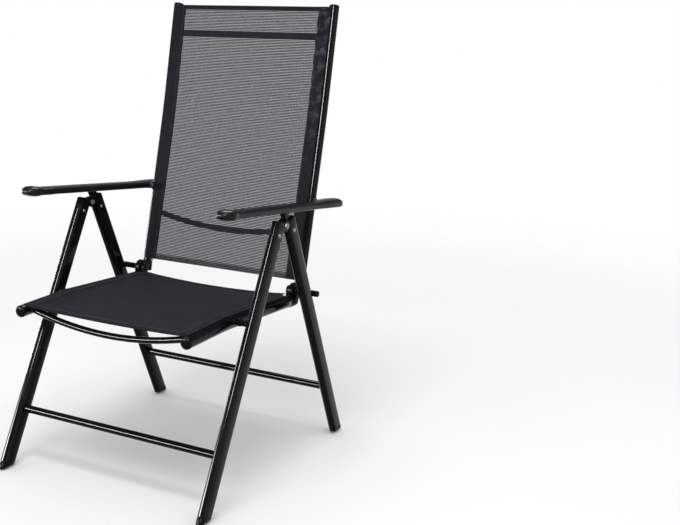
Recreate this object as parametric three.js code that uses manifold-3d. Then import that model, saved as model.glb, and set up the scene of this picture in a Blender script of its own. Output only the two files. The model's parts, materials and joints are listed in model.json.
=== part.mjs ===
// Folding lawn chair with a reclining back: two leg frames that scissor, a seat and a back of stretched
// fabric, and hollow arms whose toothed racks sit on pins at the top of the rear legs.
// Millimetres. X runs across the chair, the front faces -Y, Z is up and the floor is z = 0.
// Left and right are the sitter's, so left is +X. Each piece of a pair is made for the left side.

import * as THREE from 'three';
import { mergeVertices } from 'three/addons/utils/BufferGeometryUtils.js';
import loadManifold from 'manifold-3d';

const wasm = await loadManifold();
wasm.setup();

// Clearances
const fit = 0.3;                  // between pieces that seat on each other
const pinPlay = 0.3;              // round a pin in its hole
const legRunningGap = 0.6;        // hinge pin to the rear leg that it slides on
const rackPlay = 0.8;             // catch pin to the tooth tips above it

// Stance
const footSpread = 594;           // front foot to rear foot on the floor
const legSpacing = 566;           // middle of one side frame to the other
const chairHeight = 1080;

// Leg tubes, flat oval with the long way fore and aft
const legWidth = 20;
const legDepth = 40;
const legWall = 1.5;
const soleHeight = 14;            // plastic sole below the end of the tube, along the leg
const plugShank = 30;             // plug or foot inside a leg tube
const stretcherDiameter = 18.5;
const stretcherWall = 1.2;
const frontStretcherHeight = 129;
const rearStretcherHeight = 139;

// Leg hinge
const legHingeHeight = 590;
const legHingeSetback = 29;       // bolt behind the middle of the feet
const frontHingeOffset = 20;      // bolt behind the front leg's axis
const rearHingeOffset = 25;       // bolt in front of the rear leg's axis
const hingeEarRadius = 13;
const earInset = 0.5;             // hinge ears inside the leg's faces
const plugDrop = 16;              // end of a leg tube below the hinge bolt, along the leg
const frontPlugRise = 1;          // top of the front plug above the hinge bolt, along the leg
const rearPlugRise = 4;
const plugCorner = 9;             // rounding of a plug's front or rear shoulder
const legHingeBoltDiameter = 8;
const boltHeadDiameter = 13;
const boltHeadHeight = 3;
const headCrown = 0.72;           // width and height of a head's shoulder, as shares of the head's own
const headShoulder = 0.8;
const rivetDiameter = 6;
const rivetHeadDiameter = 9;
const rivetHeadHeight = 1.6;
const frontRivetDrop = 14;        // rivet below the end of the tube
const rearRivetDrop = 11;

// Horn and catch pin on the rear plug
const catchRise = 30;             // pin above the leg hinge bolt
const catchBehind = 4;            // pin behind the leg hinge bolt
const catchPinDiameter = 6;
const catchPinReach = 27;         // pin from the horn's outer face towards the middle
const hornThickness = 12;
const hornTipRadius = 6.5;
const hornRootWidth = 26;
const hornOutset = 16;            // horn's outer face outside the middle of the arm

// Seat
const seatPivotHeight = 389;
const seatInset = 52;             // middle of a seat tube inside the middle of a leg
const seatTubeDiameter = 28;
const seatTubeWall = 1.5;
const seatFrontReach = 174.6;     // tube's front end before the pivot bolt
const seatBendReach = 30;         // bend before the pivot bolt
const seatFrontFall = 1.6;        // degrees, front part, downwards to the front
const seatRearFall = 2.6;         // degrees, rear part, downwards to the rear
const seatBarDiameter = 15;
const seatBarWall = 1.2;
const seatFrontBarReach = 150;    // front bar before the pivot bolt
const seatFrontBarBow = 28;       // middle of the front bar below its ends
const seatRearBarSet = 44;        // rear bar before the tube's rear end
const seatRearBarBow = 14;
const seatPivotBoltDiameter = 8;
const seatSpacerDiameter = 18;
const seatSlingThickness = 1.6;
const seatSlingSag = 9;
const seatSlingFront = 166;       // front edge before the pivot bolt
const seatSlingTail = 16;         // rear edge behind the tube's rear end
const slingCurveIn = 10;          // middle of the front edge behind its corners
const slingNotch = 18;            // rear corners cut away beside the hinge, from the tube's middle line
const slingNotchSet = 4;          // front end of that cut before the tube's rear end

// Hinge between seat and back
const hingeLift = 23.8;           // hinge above the seat tube's axis
const forkReach = 26.4;           // seat tube's rear end before the hinge
const hingePinDiameter = 15;
const hingePinWall = 2;
const hingePinBeyond = 9;         // end of the pin's cap outside the leg
const hingeCapLength = 4;
const hingeEarThickness = 12;
const backEarRadius = 19;
const forkCheekRadius = 11.5;
const forkBodyDiameter = 30;
const forkBodyLength = 24.6;      // forked end behind the seat tube
const forkShank = 26;
const forkCheekDrop = 0.25;       // bottom of the cheeks below the fork's axis, as a share of its diameter

// Back
const backOutset = 2;             // middle of a back tube outside the middle of a seat tube
const backTubeDiameter = 25;
const backTubeWall = 1.5;
const backTubeOffset = 24.6;      // tube's axis behind the hinge
const backTubeStart = 6;          // tube's lower end above the hinge, along the tube
const backPlugDrop = 8;           // bottom of the plug below the hinge
const backPlugShank = 30;
const backLowerLean = 14.4;       // degrees
const backUpperLean = 12;         // degrees
const backBendDrop = 270;         // bend below the top of the chair
const backBendBlend = 70;         // half the length of the bend
const headBarDrop = 79;           // bar below the top of the chair
const headBarDiameter = 17.5;
const lumbarBarRise = 140;        // ends of the bar above the hinge
const lumbarBarDiameter = 14;
const lumbarBarBow = 25;          // middle of the bar below its ends
const lumbarBarSet = 6;           // middle of the bar behind its ends
const backBarWall = 1.2;
const backSlingThickness = 1.6;
const backSlingSag = 8;
const backSlingRise = 18;         // lower edge above the hinge
const backSlingDrop = 10;         // upper edge below the top of the chair
const tubeCapDome = 7;
const tubeCapShank = 16;
const capSkirt = 0.25;            // straight part of a dome, as a share of its height
const capShoulder = 0.5;          // highest point of a leaning cap, as a share of its radius
const capRoundness = 0.6;         // 1 is an ellipse, smaller is squarer

// Arms
const armPinDrop = 5.7;           // catch pin below the arm's middle line
const armSlope = 5.4;             // degrees, downwards to the rear
const armFrontReach = 445;        // front tip before the pivot
const armRearReach = 75;          // rear tip behind the pivot
const armFaceGap = 2;             // back tube to the arm's flat boss
const armWall = 3.2;
const armRoof = 4;                // thickness over the hollow
const armHollowFront = 378;       // hollow's front end before the pivot
const armHollowRear = 48;
const armBossRadius = 10;
const armBossInset = 7.5;         // end of the boss inside the arm's middle
const armPivotBoltDiameter = 8;
const armPivotHeadDiameter = 11;
const armWasherDiameter = 24;
const rackWidth = 16;
const rackAhead = 109;            // front end of the rack before the catch pin
const rackBehind = 57;            // rear end behind it
const rackNotches = 7;
const rackPitch = 15.9;
const rackToothDepth = 5;
const rackToothHalf = 2;          // half the width of a tooth's tip
const rackLug = 8;                // length of the lugs at the rack's ends

// Arm's outline: half width, rise above and drop below its middle line
const armNoseHalf = 23;
const armNoseRise = 12.5;
const armNoseDrop = 11.5;
const armNoseLength = 24;         // fullest part of the nose behind the tip
const armNeckHalf = 20;
const armNeckRise = 9.5;
const armNeckDrop = 10;
const armNeckLength = 54;         // crease behind the tip
const armBarHalf = 21;
const armBarRise = 10;
const armBarDrop = 10;
const armBarStart = 120;          // even bar from here behind the tip
const armPaddleHalf = 23.5;
const armPaddleRise = 12.5;
const armPaddleLength = 50;       // full rear paddle
const armPaddleTaper = 90;        // from the bar to the paddle
const armTailRound = 30;
const armTipFlat = 0.6;           // first and last ring inside the tips
const armSidePower = 0.75;        // roundness of the section: 1 is an ellipse, smaller is squarer
const armTopPower = 0.85;
const armUnderPower = 0.6;

// Facets
const halfCircleSteps = 3;        // doubled by the curve classes on each half circle
const earSteps = 6;               // the same for hinge ears and their rooms, which turn in each other
const roundSides = 12;
const capSteps = 4;
const fastenerSides = 8;
const bowSteps = 6;
const tubeSteps = 8;
const armRings = 17;
const armRingCrowd = 0.133;       // how far the rings crowd towards both ends
const armRingPoints = 16;
const slingColumns = 10;
const slingRows = 9;

const weldDistance = 1e-4;
const past = 1;                   // cutting tools run past the faces that they cut
const boreFlat = Math.cos(Math.PI / (4 * halfCircleSteps)); // flats of a faceted bore, as a share of its radius
const degrees = Math.PI / 180;
const X = new THREE.Vector3(1, 0, 0);
const Y = new THREE.Vector3(0, 1, 0);
const Z = new THREE.Vector3(0, 0, 1);

const coatedSteel = new THREE.MeshStandardMaterial({ color: 0x141416, roughness: 0.22, metalness: 0.3 });
const blackPlastic = new THREE.MeshStandardMaterial({ color: 0x1b1b1d, roughness: 0.55, metalness: 0 });
const armPlastic = new THREE.MeshStandardMaterial({ color: 0x26272a, roughness: 0.42, metalness: 0 });
const zincSteel = new THREE.MeshStandardMaterial({ color: 0xc8cbd0, roughness: 0.3, metalness: 1 });
const backFabric = new THREE.MeshStandardMaterial({ color: 0x6c6b71, roughness: 0.9, metalness: 0 });
const seatFabric = new THREE.MeshStandardMaterial({ color: 0x33333a, roughness: 0.9, metalness: 0 });

// Positions only, corners shared, flat slivers dropped: the form that joins, cuts and mirrors need
function welded(geometry) {
  const plain = geometry.clone();
  plain.deleteAttribute('normal');
  plain.deleteAttribute('uv');
  const merged = mergeVertices(plain, weldDistance);
  const corners = merged.index.array;
  const kept = [];
  for (let i = 0; i < corners.length; i += 3) {
    const [a, b, c] = [corners[i], corners[i + 1], corners[i + 2]];
    if (a !== b && b !== c && c !== a) kept.push(a, b, c);
  }
  merged.setIndex(kept);
  return merged;
}

function solidOf(geometry) {
  const merged = welded(geometry);
  const vertProperties = new Float32Array(merged.attributes.position.array);
  const triVerts = new Uint32Array(merged.index.array);
  return new wasm.Manifold(new wasm.Mesh({ numProp: 3, vertProperties, triVerts }));
}

function geometryOf(solid) {
  const mesh = solid.getMesh();
  const geometry = new THREE.BufferGeometry();
  geometry.setAttribute('position', new THREE.BufferAttribute(new Float32Array(mesh.vertProperties), 3));
  geometry.setIndex(Array.from(mesh.triVerts));
  return geometry;
}

function join(...pieces) {
  return geometryOf(pieces.map(solidOf).reduce((whole, piece) => whole.add(piece)));
}

function cut(piece, ...tools) {
  return geometryOf(tools.map(solidOf).reduce((left, tool) => left.subtract(tool), solidOf(piece)));
}

function common(piece, other) {
  return geometryOf(solidOf(piece).intersect(solidOf(other)));
}

function mirrored(geometry) {
  const flipped = welded(geometry).scale(-1, 1, 1);
  flipped.index.array.reverse();
  return flipped;
}

function addPiece(group, name, geometry, material) {
  const finished = welded(geometry).toNonIndexed();
  finished.computeVertexNormals();
  const mesh = new THREE.Mesh(finished, material);
  mesh.name = name;
  group.add(mesh);
}

function addPair(group, name, leftGeometry, material) {
  addPiece(group, `${name}_left`, leftGeometry, material);
  addPiece(group, `${name}_right`, mirrored(leftGeometry), material);
}

// Flat-sided oval, round at both ends; a circle where width and depth are equal
function ovalShape(width, depth) {
  const radius = width / 2;
  const straight = depth / 2 - radius;
  const shape = new THREE.Shape();
  shape.absarc(0, straight, radius, 0, Math.PI, false);
  shape.absarc(0, -straight, radius, Math.PI, 2 * Math.PI, false);
  shape.closePath();
  return shape;
}

function hollowShape(width, depth, wall) {
  const shape = ovalShape(width, depth);
  shape.holes.push(ovalShape(width - 2 * wall, depth - 2 * wall));
  return shape;
}

// A section carried along a path. Its first axis lies across the chair where the path runs in a side plane.
function alongPath(path, shape, steps) {
  const options = { extrudePath: path, steps, curveSegments: halfCircleSteps, bevelEnabled: false };
  return new THREE.ExtrudeGeometry(shape, options);
}

// A bar of the given section, drawn as (x, y), upright in its own frame
function upright(x, shape, low, high) {
  const options = { depth: high - low, curveSegments: halfCircleSteps, bevelEnabled: false };
  return new THREE.ExtrudeGeometry(shape, options).translate(x, 0, low);
}

// A side view outline, drawn as (y, z), given thickness across the chair
const sideways = new THREE.Matrix4().makeBasis(Y, Z, X);
function plate(shape, inner, outer, curveSegments = halfCircleSteps) {
  const options = { depth: outer - inner, curveSegments, bevelEnabled: false };
  return new THREE.ExtrudeGeometry(shape, options).applyMatrix4(sideways).translate(inner, 0, 0);
}

function discShape(y, z, radius) {
  const shape = new THREE.Shape();
  shape.absarc(y, z, radius, 0, Math.PI, false);
  shape.absarc(y, z, radius, Math.PI, 2 * Math.PI, false);
  shape.closePath();
  return shape;
}

function rod(inner, outer, y, z, radius) {
  const cylinder = new THREE.CylinderGeometry(radius, radius, outer - inner, roundSides);
  return cylinder.rotateZ(-Math.PI / 2).translate((inner + outer) / 2, y, z);
}

function hollowRod(inner, outer, y, z, diameter, wall) {
  const from = new THREE.Vector3(inner, y, z);
  const to = new THREE.Vector3(outer, y, z);
  return alongPath(new THREE.LineCurve3(from, to), hollowShape(diameter, diameter, wall), 1);
}

// Bolt or rivet across the chair: shank, a domed head at the outer end and a flat one at the inner end
function fastener(inner, outer, y, z, shankDiameter, headDiameter, headHeight) {
  const head = headDiameter / 2;
  const shank = shankDiameter / 2;
  const length = outer - inner;
  const profile = [
    new THREE.Vector2(0, -headHeight),
    new THREE.Vector2(head, -headHeight),
    new THREE.Vector2(head, -fit),
    new THREE.Vector2(shank, -fit),
    new THREE.Vector2(shank, length + fit),
    new THREE.Vector2(head, length + fit),
    new THREE.Vector2(head * headCrown, length + headHeight * headShoulder),
    new THREE.Vector2(0, length + headHeight),
  ];
  return new THREE.LatheGeometry(profile, fastenerSides).rotateZ(-Math.PI / 2).translate(inner, y, z);
}

// Domed plug for a round tube: a shank inside the tube and a dome flush with it, looking along +Y
function domeCap(tubeDiameter, wall, dome, shankLength) {
  const outer = tubeDiameter / 2;
  const inner = (outer - wall) * boreFlat - fit;
  const arc = Array.from({ length: capSteps + 1 }, (_, step) => {
    const turn = (step / capSteps) * Math.PI / 2;
    const height = THREE.MathUtils.lerp(capSkirt, 1, Math.sin(turn));
    return new THREE.Vector2(outer * Math.cos(turn) ** capRoundness, fit + dome * height);
  });
  arc[arc.length - 1].x = 0;
  const profile = [
    new THREE.Vector2(0, -shankLength),
    new THREE.Vector2(inner, -shankLength),
    new THREE.Vector2(inner, fit),
    new THREE.Vector2(outer, fit),
    ...arc,
  ];
  return new THREE.LatheGeometry(profile, roundSides);
}

function placedCap(cap, point, direction) {
  const turn = new THREE.Quaternion().setFromUnitVectors(Y, direction);
  return cap.applyQuaternion(turn).translate(point.x, point.y, point.z);
}

// Two straight runs with a soft bend between them
function bentPath(from, bend, to, blend) {
  const before = bend.clone().add(from.clone().sub(bend).setLength(blend));
  const after = bend.clone().add(to.clone().sub(bend).setLength(blend));
  const path = new THREE.CurvePath();
  path.add(new THREE.LineCurve3(from, before));
  path.add(new THREE.QuadraticBezierCurve3(before, bend, after));
  path.add(new THREE.LineCurve3(after, to));
  return path;
}

// Bar between two tubes, bowed as a parabola, with its ends coped to the tubes
function copedBar(end, bow, diameter, wall, tubePath, tubeDiameter) {
  const start = new THREE.Vector3(-end.x, end.y, end.z);
  const middle = new THREE.Vector3(0, end.y, end.z).addScaledVector(bow, 2);
  const path = new THREE.QuadraticBezierCurve3(start, middle, end);
  const bar = alongPath(path, hollowShape(diameter, diameter, wall), bow.length() > 0 ? bowSteps : 1);
  const around = tubeDiameter + 2 * fit;
  const cope = alongPath(tubePath, ovalShape(around, around), tubeSteps);
  return cut(bar, cope, mirrored(cope));
}

// Closed sheet of cloth about a middle surface given by point(u, v), with u and v from 0 to 1
function sheet(point, thickness, columns, rows) {
  const step = 1e-3;
  const places = [];
  for (const side of [0.5, -0.5]) {
    for (let row = 0; row <= rows; row += 1) {
      for (let column = 0; column <= columns; column += 1) {
        const u = column / columns;
        const v = row / rows;
        const across = point(u + step, v).sub(point(u - step, v));
        const along = point(u, v + step).sub(point(u, v - step));
        const normal = across.cross(along).normalize();
        places.push(point(u, v).addScaledVector(normal, side * thickness));
      }
    }
  }
  const layer = (rows + 1) * (columns + 1);
  const at = (row, column) => row * (columns + 1) + column;
  const corners = [];
  const quad = (a, b, c, d) => corners.push(a, b, c, a, c, d);
  for (let row = 0; row < rows; row += 1) {
    for (let column = 0; column < columns; column += 1) {
      const [a, b] = [at(row, column), at(row, column + 1)];
      const [c, d] = [at(row + 1, column + 1), at(row + 1, column)];
      quad(a, b, c, d);
      quad(layer + d, layer + c, layer + b, layer + a);
    }
  }
  const edge = [];
  for (let column = 0; column < columns; column += 1) edge.push(at(0, column));
  for (let row = 0; row < rows; row += 1) edge.push(at(row, columns));
  for (let column = columns; column > 0; column -= 1) edge.push(at(rows, column));
  for (let row = rows; row > 0; row -= 1) edge.push(at(row, 0));
  edge.forEach((here, index) => {
    const next = edge[(index + 1) % edge.length];
    quad(here, layer + here, layer + next, next);
  });
  const geometry = new THREE.BufferGeometry().setFromPoints(places);
  geometry.setIndex(corners);
  return geometry;
}

// Rings of equal counts joined into one closed skin, with a fan over each end
function loft(rings) {
  const count = rings[0].length;
  const places = rings.flat();
  const corners = [];
  for (let ring = 0; ring + 1 < rings.length; ring += 1) {
    for (let i = 0; i < count; i += 1) {
      const next = (i + 1) % count;
      const [a, b] = [ring * count + i, ring * count + next];
      corners.push(a, b, b + count, a, b + count, a + count);
    }
  }
  const lastRing = (rings.length - 1) * count;
  for (let i = 1; i + 1 < count; i += 1) {
    corners.push(0, i + 1, i);
    corners.push(lastRing, lastRing + i, lastRing + i + 1);
  }
  const geometry = new THREE.BufferGeometry().setFromPoints(places);
  geometry.setIndex(corners);
  return geometry;
}

// Where the frames stand

const legX = legSpacing / 2;
const legInner = legX - legWidth / 2;
const legOuter = legX + legWidth / 2;
const seatX = legX - seatInset;
const backX = seatX + backOutset;
const backRadius = backTubeDiameter / 2;
const armFace = backX + backRadius + armFaceGap;
const armX = armFace + armPaddleHalf;

// Lean of a leg whose axis starts at its foot and passes the hinge bolt at the given offset
function legSet(run, offset) {
  const reach = Math.hypot(run, legHingeHeight);
  const lean = Math.atan2(run, legHingeHeight) - Math.asin(offset / reach);
  return { lean, hingeAlong: Math.sqrt(reach * reach - offset * offset) };
}
const front = legSet(footSpread / 2 + legHingeSetback, frontHingeOffset);
const rear = legSet(footSpread / 2 - legHingeSetback, rearHingeOffset);

const chair = new THREE.Group();

const frontLegs = new THREE.Group();
frontLegs.position.y = -footSpread / 2;
frontLegs.rotation.x = -front.lean;
chair.add(frontLegs);

const rearLegs = new THREE.Group();
rearLegs.position.y = footSpread / 2;
rearLegs.rotation.x = rear.lean;
chair.add(rearLegs);

// Leg frames

const legHole = legHingeBoltDiameter / 2 + pinPlay;
const rivetHole = rivetDiameter / 2 + pinPlay;
const legBore = hollowShape(legWidth, legDepth, legWall);
const legShank = ovalShape(legWidth - 2 * (legWall + fit), legDepth - 2 * (legWall + fit));

function legTube(top, rivetDrop) {
  const tube = upright(legX, legBore, soleHeight, top);
  return cut(tube, rod(legInner - past, legOuter + past, 0, top - rivetDrop, rivetHole));
}

// Sole flush with the tube, cut level with the floor, and a shank up inside the tube
function legFoot(lean) {
  const sole = upright(legX, ovalShape(legWidth, legDepth), -legDepth, soleHeight - fit);
  const shank = upright(legX, legShank, 0, soleHeight + plugShank);
  const below = new THREE.BoxGeometry(4 * legWidth, 6 * legDepth, 2 * legDepth);
  below.translate(legX, 0, -legDepth).rotateX(lean);
  return cut(join(sole, shank), below);
}

// Plug head: the leg's own section up to a top line, with one shoulder rounded
function plugHead(top, rise, roundedSide) {
  const half = legDepth / 2;
  const shape = new THREE.Shape();
  shape.moveTo(-roundedSide * half, top + fit);
  shape.lineTo(-roundedSide * half, rise);
  shape.lineTo(roundedSide * (half - plugCorner), rise);
  shape.quadraticCurveTo(roundedSide * half, rise, roundedSide * half, rise - plugCorner);
  shape.lineTo(roundedSide * half, top + fit);
  shape.closePath();
  const block = upright(legX, ovalShape(legWidth, legDepth), top + fit, rise + past);
  const head = common(block, plate(shape, legInner - past, legOuter + past));
  return join(head, upright(legX, legShank, top - plugShank, top + fit + past));
}

const frontTop = front.hingeAlong - plugDrop;
const rearTop = rear.hingeAlong - plugDrop;
const earRoom = hingeEarRadius + fit;
const pivotRoom = seatPivotBoltDiameter / 2 + pinPlay;

const seatPivotAlong = seatPivotHeight / Math.cos(front.lean);
const seatPivotY = -footSpread / 2 + seatPivotHeight * Math.tan(front.lean);

const frontLeg = cut(
  legTube(frontTop, frontRivetDrop),
  rod(legInner - past, legX, 0, seatPivotAlong, pivotRoom),
);
addPair(frontLegs, 'front_leg', frontLeg, coatedSteel);
addPair(frontLegs, 'front_foot', legFoot(front.lean), blackPlastic);

// The front plug's ear lies in the outer half of the leg's width, the rear plug's in the inner half
const frontPlug = cut(
  join(
    cut(
      plugHead(frontTop, front.hingeAlong + frontPlugRise, -1),
      plate(discShape(frontHingeOffset, front.hingeAlong, earRoom), legInner - past, legX + fit / 3, earSteps),
    ),
    plate(discShape(frontHingeOffset, front.hingeAlong, hingeEarRadius), legX + fit / 2,
      legOuter - earInset, earSteps),
  ),
  rod(legInner - past, legOuter + past, frontHingeOffset, front.hingeAlong, legHole),
  rod(legInner - past, legOuter + past, 0, frontTop - frontRivetDrop, rivetHole),
);
addPair(frontLegs, 'front_plug', frontPlug, blackPlastic);

const frontRivet = fastener(legInner, legOuter, 0, frontTop - frontRivetDrop, rivetDiameter,
  rivetHeadDiameter, rivetHeadHeight);
addPair(frontLegs, 'front_plug_rivet', frontRivet, zincSteel);

const legHingeBolt = fastener(legInner, legOuter, frontHingeOffset, front.hingeAlong,
  legHingeBoltDiameter, boltHeadDiameter, boltHeadHeight);
addPair(frontLegs, 'leg_hinge_bolt', legHingeBolt, zincSteel);

const stretcherEnd = legInner - fit;
const frontStretcher = hollowRod(-stretcherEnd, stretcherEnd, 0,
  frontStretcherHeight / Math.cos(front.lean), stretcherDiameter, stretcherWall);
addPiece(frontLegs, 'front_stretcher', frontStretcher, coatedSteel);

addPair(rearLegs, 'rear_leg', legTube(rearTop, rearRivetDrop), coatedSteel);
addPair(rearLegs, 'rear_foot', legFoot(-rear.lean), blackPlastic);

rearLegs.updateMatrixWorld();
const catchAt = new THREE.Vector3(0, legHingeSetback + catchBehind, legHingeHeight + catchRise);
const catchPoint = rearLegs.worldToLocal(catchAt.clone());
const hornOuter = armX + hornOutset;
const hornInner = hornOuter - hornThickness;

// Finger from the plug's top up to a round tip about the catch pin
function hornShape() {
  const root = rear.hingeAlong + rearPlugRise - plugCorner;
  const shape = new THREE.Shape();
  shape.moveTo(catchPoint.y - hornTipRadius, root);
  shape.lineTo(catchPoint.y - hornTipRadius + hornRootWidth, root);
  shape.lineTo(catchPoint.y + hornTipRadius, catchPoint.z);
  shape.absarc(catchPoint.y, catchPoint.z, hornTipRadius, 0, Math.PI, false);
  shape.closePath();
  return shape;
}

const rearPlug = cut(
  join(
    cut(
      join(plugHead(rearTop, rear.hingeAlong + rearPlugRise, 1), plate(hornShape(), hornInner, hornOuter)),
      plate(discShape(-rearHingeOffset, rear.hingeAlong, earRoom), legX - fit / 3, legOuter + past, earSteps),
    ),
    rearEar(),
  ),
  rod(legInner - past, legOuter + past, -rearHingeOffset, rear.hingeAlong, legHole),
  rod(legInner - past, legOuter + past, 0, rearTop - rearRivetDrop, rivetHole),
  rod(hornInner - past, hornOuter + past, catchPoint.y, catchPoint.z, catchPinDiameter / 2 + fit),
);
addPair(rearLegs, 'rear_plug', rearPlug, blackPlastic);

// Ear round the bolt with a neck back to the plug's head
function rearEar() {
  const y = -rearHingeOffset;
  const z = rear.hingeAlong;
  const shape = new THREE.Shape();
  shape.absarc(y, z, hingeEarRadius, Math.PI / 2, 1.5 * Math.PI, false);
  shape.lineTo(y + rearHingeOffset, z - hingeEarRadius);
  shape.lineTo(y + rearHingeOffset, z + rearPlugRise);
  shape.lineTo(y + hingeEarRadius, z + hingeEarRadius);
  shape.closePath();
  return plate(shape, legInner + earInset, legX - fit / 2, earSteps);
}

const rearRivet = fastener(legInner, legOuter, 0, rearTop - rearRivetDrop, rivetDiameter,
  rivetHeadDiameter, rivetHeadHeight);
addPair(rearLegs, 'rear_plug_rivet', rearRivet, zincSteel);

const catchPin = rod(hornOuter - catchPinReach, hornOuter, catchPoint.y, catchPoint.z, catchPinDiameter / 2);
addPair(rearLegs, 'catch_pin', catchPin, zincSteel);

const rearStretcher = hollowRod(-stretcherEnd, stretcherEnd, 0,
  rearStretcherHeight / Math.cos(rear.lean), stretcherDiameter, stretcherWall);
addPiece(rearLegs, 'rear_stretcher', rearStretcher, coatedSteel);

// Seat

const seat = new THREE.Group();
chair.add(seat);

const frontFall = Math.tan(seatFrontFall * degrees);
const rearFall = Math.tan(seatRearFall * degrees);

// The hinge lies above the seat tube's axis and behind the rear leg, on which its pin bears
const pinRadius = hingePinDiameter / 2;
const legRun = Math.tan(rear.lean);
const legRear = footSpread / 2 + (legDepth / 2 + legRunningGap + pinRadius) / Math.cos(rear.lean);
const hingeHeight = (seatPivotHeight + hingeLift - (legRear - seatPivotY) * rearFall) / (1 - legRun * rearFall);
const hingeAt = new THREE.Vector3(0, legRear - hingeHeight * legRun, hingeHeight);
const seatRearReach = hingeAt.y - seatPivotY - forkReach;

// Height of the seat tube's axis at a distance behind the pivot bolt
function seatAxis(behind) {
  const bend = -seatBendReach;
  const bendRise = seatBendReach * rearFall;
  const rise = behind > bend ? -behind * rearFall : bendRise + (behind - bend) * frontFall;
  return new THREE.Vector3(seatX, seatPivotY + behind, seatPivotHeight + rise);
}

const seatFront = seatAxis(-seatFrontReach);
const seatRear = seatAxis(seatRearReach);
const seatPath = bentPath(seatFront, seatAxis(-seatBendReach), seatRear, seatBendReach);
const seatRadius = seatTubeDiameter / 2;

const bracketRivetAt = seatAxis(seatRearReach - forkShank / 2);
const seatTube = cut(
  alongPath(seatPath, hollowShape(seatTubeDiameter, seatTubeDiameter, seatTubeWall), tubeSteps),
  rod(seatX - seatTubeDiameter, seatX + seatTubeDiameter, seatPivotY, seatPivotHeight, pivotRoom),
  rod(seatX - seatTubeDiameter, seatX + seatTubeDiameter, bracketRivetAt.y, bracketRivetAt.z, rivetHole),
);
addPair(seat, 'seat_tube', seatTube, coatedSteel);

const seatCap = domeCap(seatTubeDiameter, seatTubeWall, tubeCapDome, tubeCapShank);
const seatForward = seatFront.clone().sub(seatAxis(-seatBendReach)).normalize();
addPair(seat, 'seat_front_cap', placedCap(seatCap, seatFront, seatForward), blackPlastic);

// The seat's bars bow downwards, clear of a sitter on the fabric
function seatBar(behind, bow) {
  const drop = new THREE.Vector3(0, 0, -bow);
  return copedBar(seatAxis(behind), drop, seatBarDiameter, seatBarWall, seatPath, seatTubeDiameter);
}
addPiece(seat, 'seat_front_bar', seatBar(-seatFrontBarReach, seatFrontBarBow), coatedSteel);
addPiece(seat, 'seat_rear_bar', seatBar(seatRearReach - seatRearBarSet, seatRearBarBow), coatedSteel);

const seatTubeOuter = seatX + seatRadius;
const spacer = cut(
  rod(seatTubeOuter + fit, legInner - fit, seatPivotY, seatPivotHeight, seatSpacerDiameter / 2),
  rod(seatTubeOuter, legInner, seatPivotY, seatPivotHeight, pivotRoom),
);
addPair(seat, 'seat_pivot_spacer', spacer, blackPlastic);

// The pivot bolt's head lies against the seat tube, and its end is held in the leg's inner wall
const seatPivotLocal = { y: 0, z: seatPivotAlong };
const seatPivotBolt = join(
  rod(seatX - seatRadius - fit - boltHeadHeight, seatX - seatRadius - fit, seatPivotLocal.y,
    seatPivotLocal.z, boltHeadDiameter / 2),
  rod(seatX - seatRadius - fit - past, legX - legWall, seatPivotLocal.y, seatPivotLocal.z,
    seatPivotBoltDiameter / 2),
);
addPair(frontLegs, 'seat_pivot_bolt', seatPivotBolt, zincSteel);

// Hinge between seat and back

const earInner = backX - hingeEarThickness / 2;
const earOuter = backX + hingeEarThickness / 2;
const pinRoom = pinRadius + pinPlay;

const forkEnd = seatAxis(seatRearReach + forkBodyLength);
const forkInner = seatX - forkBodyDiameter / 2;
const forkOuter = seatX + forkBodyDiameter / 2;

function forkCheek() {
  const low = forkEnd.z - forkBodyDiameter * forkCheekDrop;
  const shape = new THREE.Shape();
  shape.moveTo(hingeAt.y - forkCheekRadius, low);
  shape.lineTo(forkEnd.y, low);
  shape.lineTo(hingeAt.y + forkCheekRadius, hingeAt.z);
  shape.absarc(hingeAt.y, hingeAt.z, forkCheekRadius, 0, Math.PI, false);
  shape.closePath();
  return plate(shape, forkInner, forkOuter);
}

function seatFork() {
  const start = seatAxis(seatRearReach + fit);
  const bodyPath = new THREE.LineCurve3(start, forkEnd);
  const body = alongPath(bodyPath, ovalShape(forkBodyDiameter, forkBodyDiameter), 1);
  const shankPath = new THREE.LineCurve3(seatAxis(seatRearReach - forkShank), seatAxis(seatRearReach + past));
  const shankDiameter = seatTubeDiameter - 2 * (seatTubeWall + fit);
  const shank = alongPath(shankPath, ovalShape(shankDiameter, shankDiameter), 1);
  const slot = plate(discShape(hingeAt.y, hingeAt.z, backEarRadius + 2 * fit), earInner - 2 * fit,
    earOuter + 2 * fit, earSteps);
  return cut(
    join(body, shank, forkCheek()),
    slot,
    rod(forkInner - past, forkOuter + past, hingeAt.y, hingeAt.z, pinRoom),
    rod(forkInner - past, forkOuter + past, bracketRivetAt.y, bracketRivetAt.z, rivetHole),
  );
}
addPair(seat, 'seat_hinge_bracket', seatFork(), blackPlastic);

const bracketRivet = fastener(seatX - seatRadius, seatX + seatRadius, bracketRivetAt.y, bracketRivetAt.z,
  rivetDiameter, rivetHeadDiameter, rivetHeadHeight);
addPair(seat, 'seat_bracket_rivet', bracketRivet, zincSteel);

const hinge = new THREE.Group();
hinge.position.copy(hingeAt);
chair.add(hinge);

const pinEnd = legOuter + hingePinBeyond - hingeCapLength - fit;
addPair(hinge, 'hinge_pin', hollowRod(forkInner, pinEnd, 0, 0, hingePinDiameter, hingePinWall), coatedSteel);
const pinCap = domeCap(hingePinDiameter, hingePinWall, hingeCapLength, tubeCapShank);
addPair(hinge, 'hinge_pin_cap', placedCap(pinCap, new THREE.Vector3(pinEnd, 0, 0), X), blackPlastic);

// Back

const back = new THREE.Group();
chair.add(back);

const lowerLean = backLowerLean * degrees;
const upperLean = backUpperLean * degrees;
const backBendHeight = chairHeight - backBendDrop;

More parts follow.
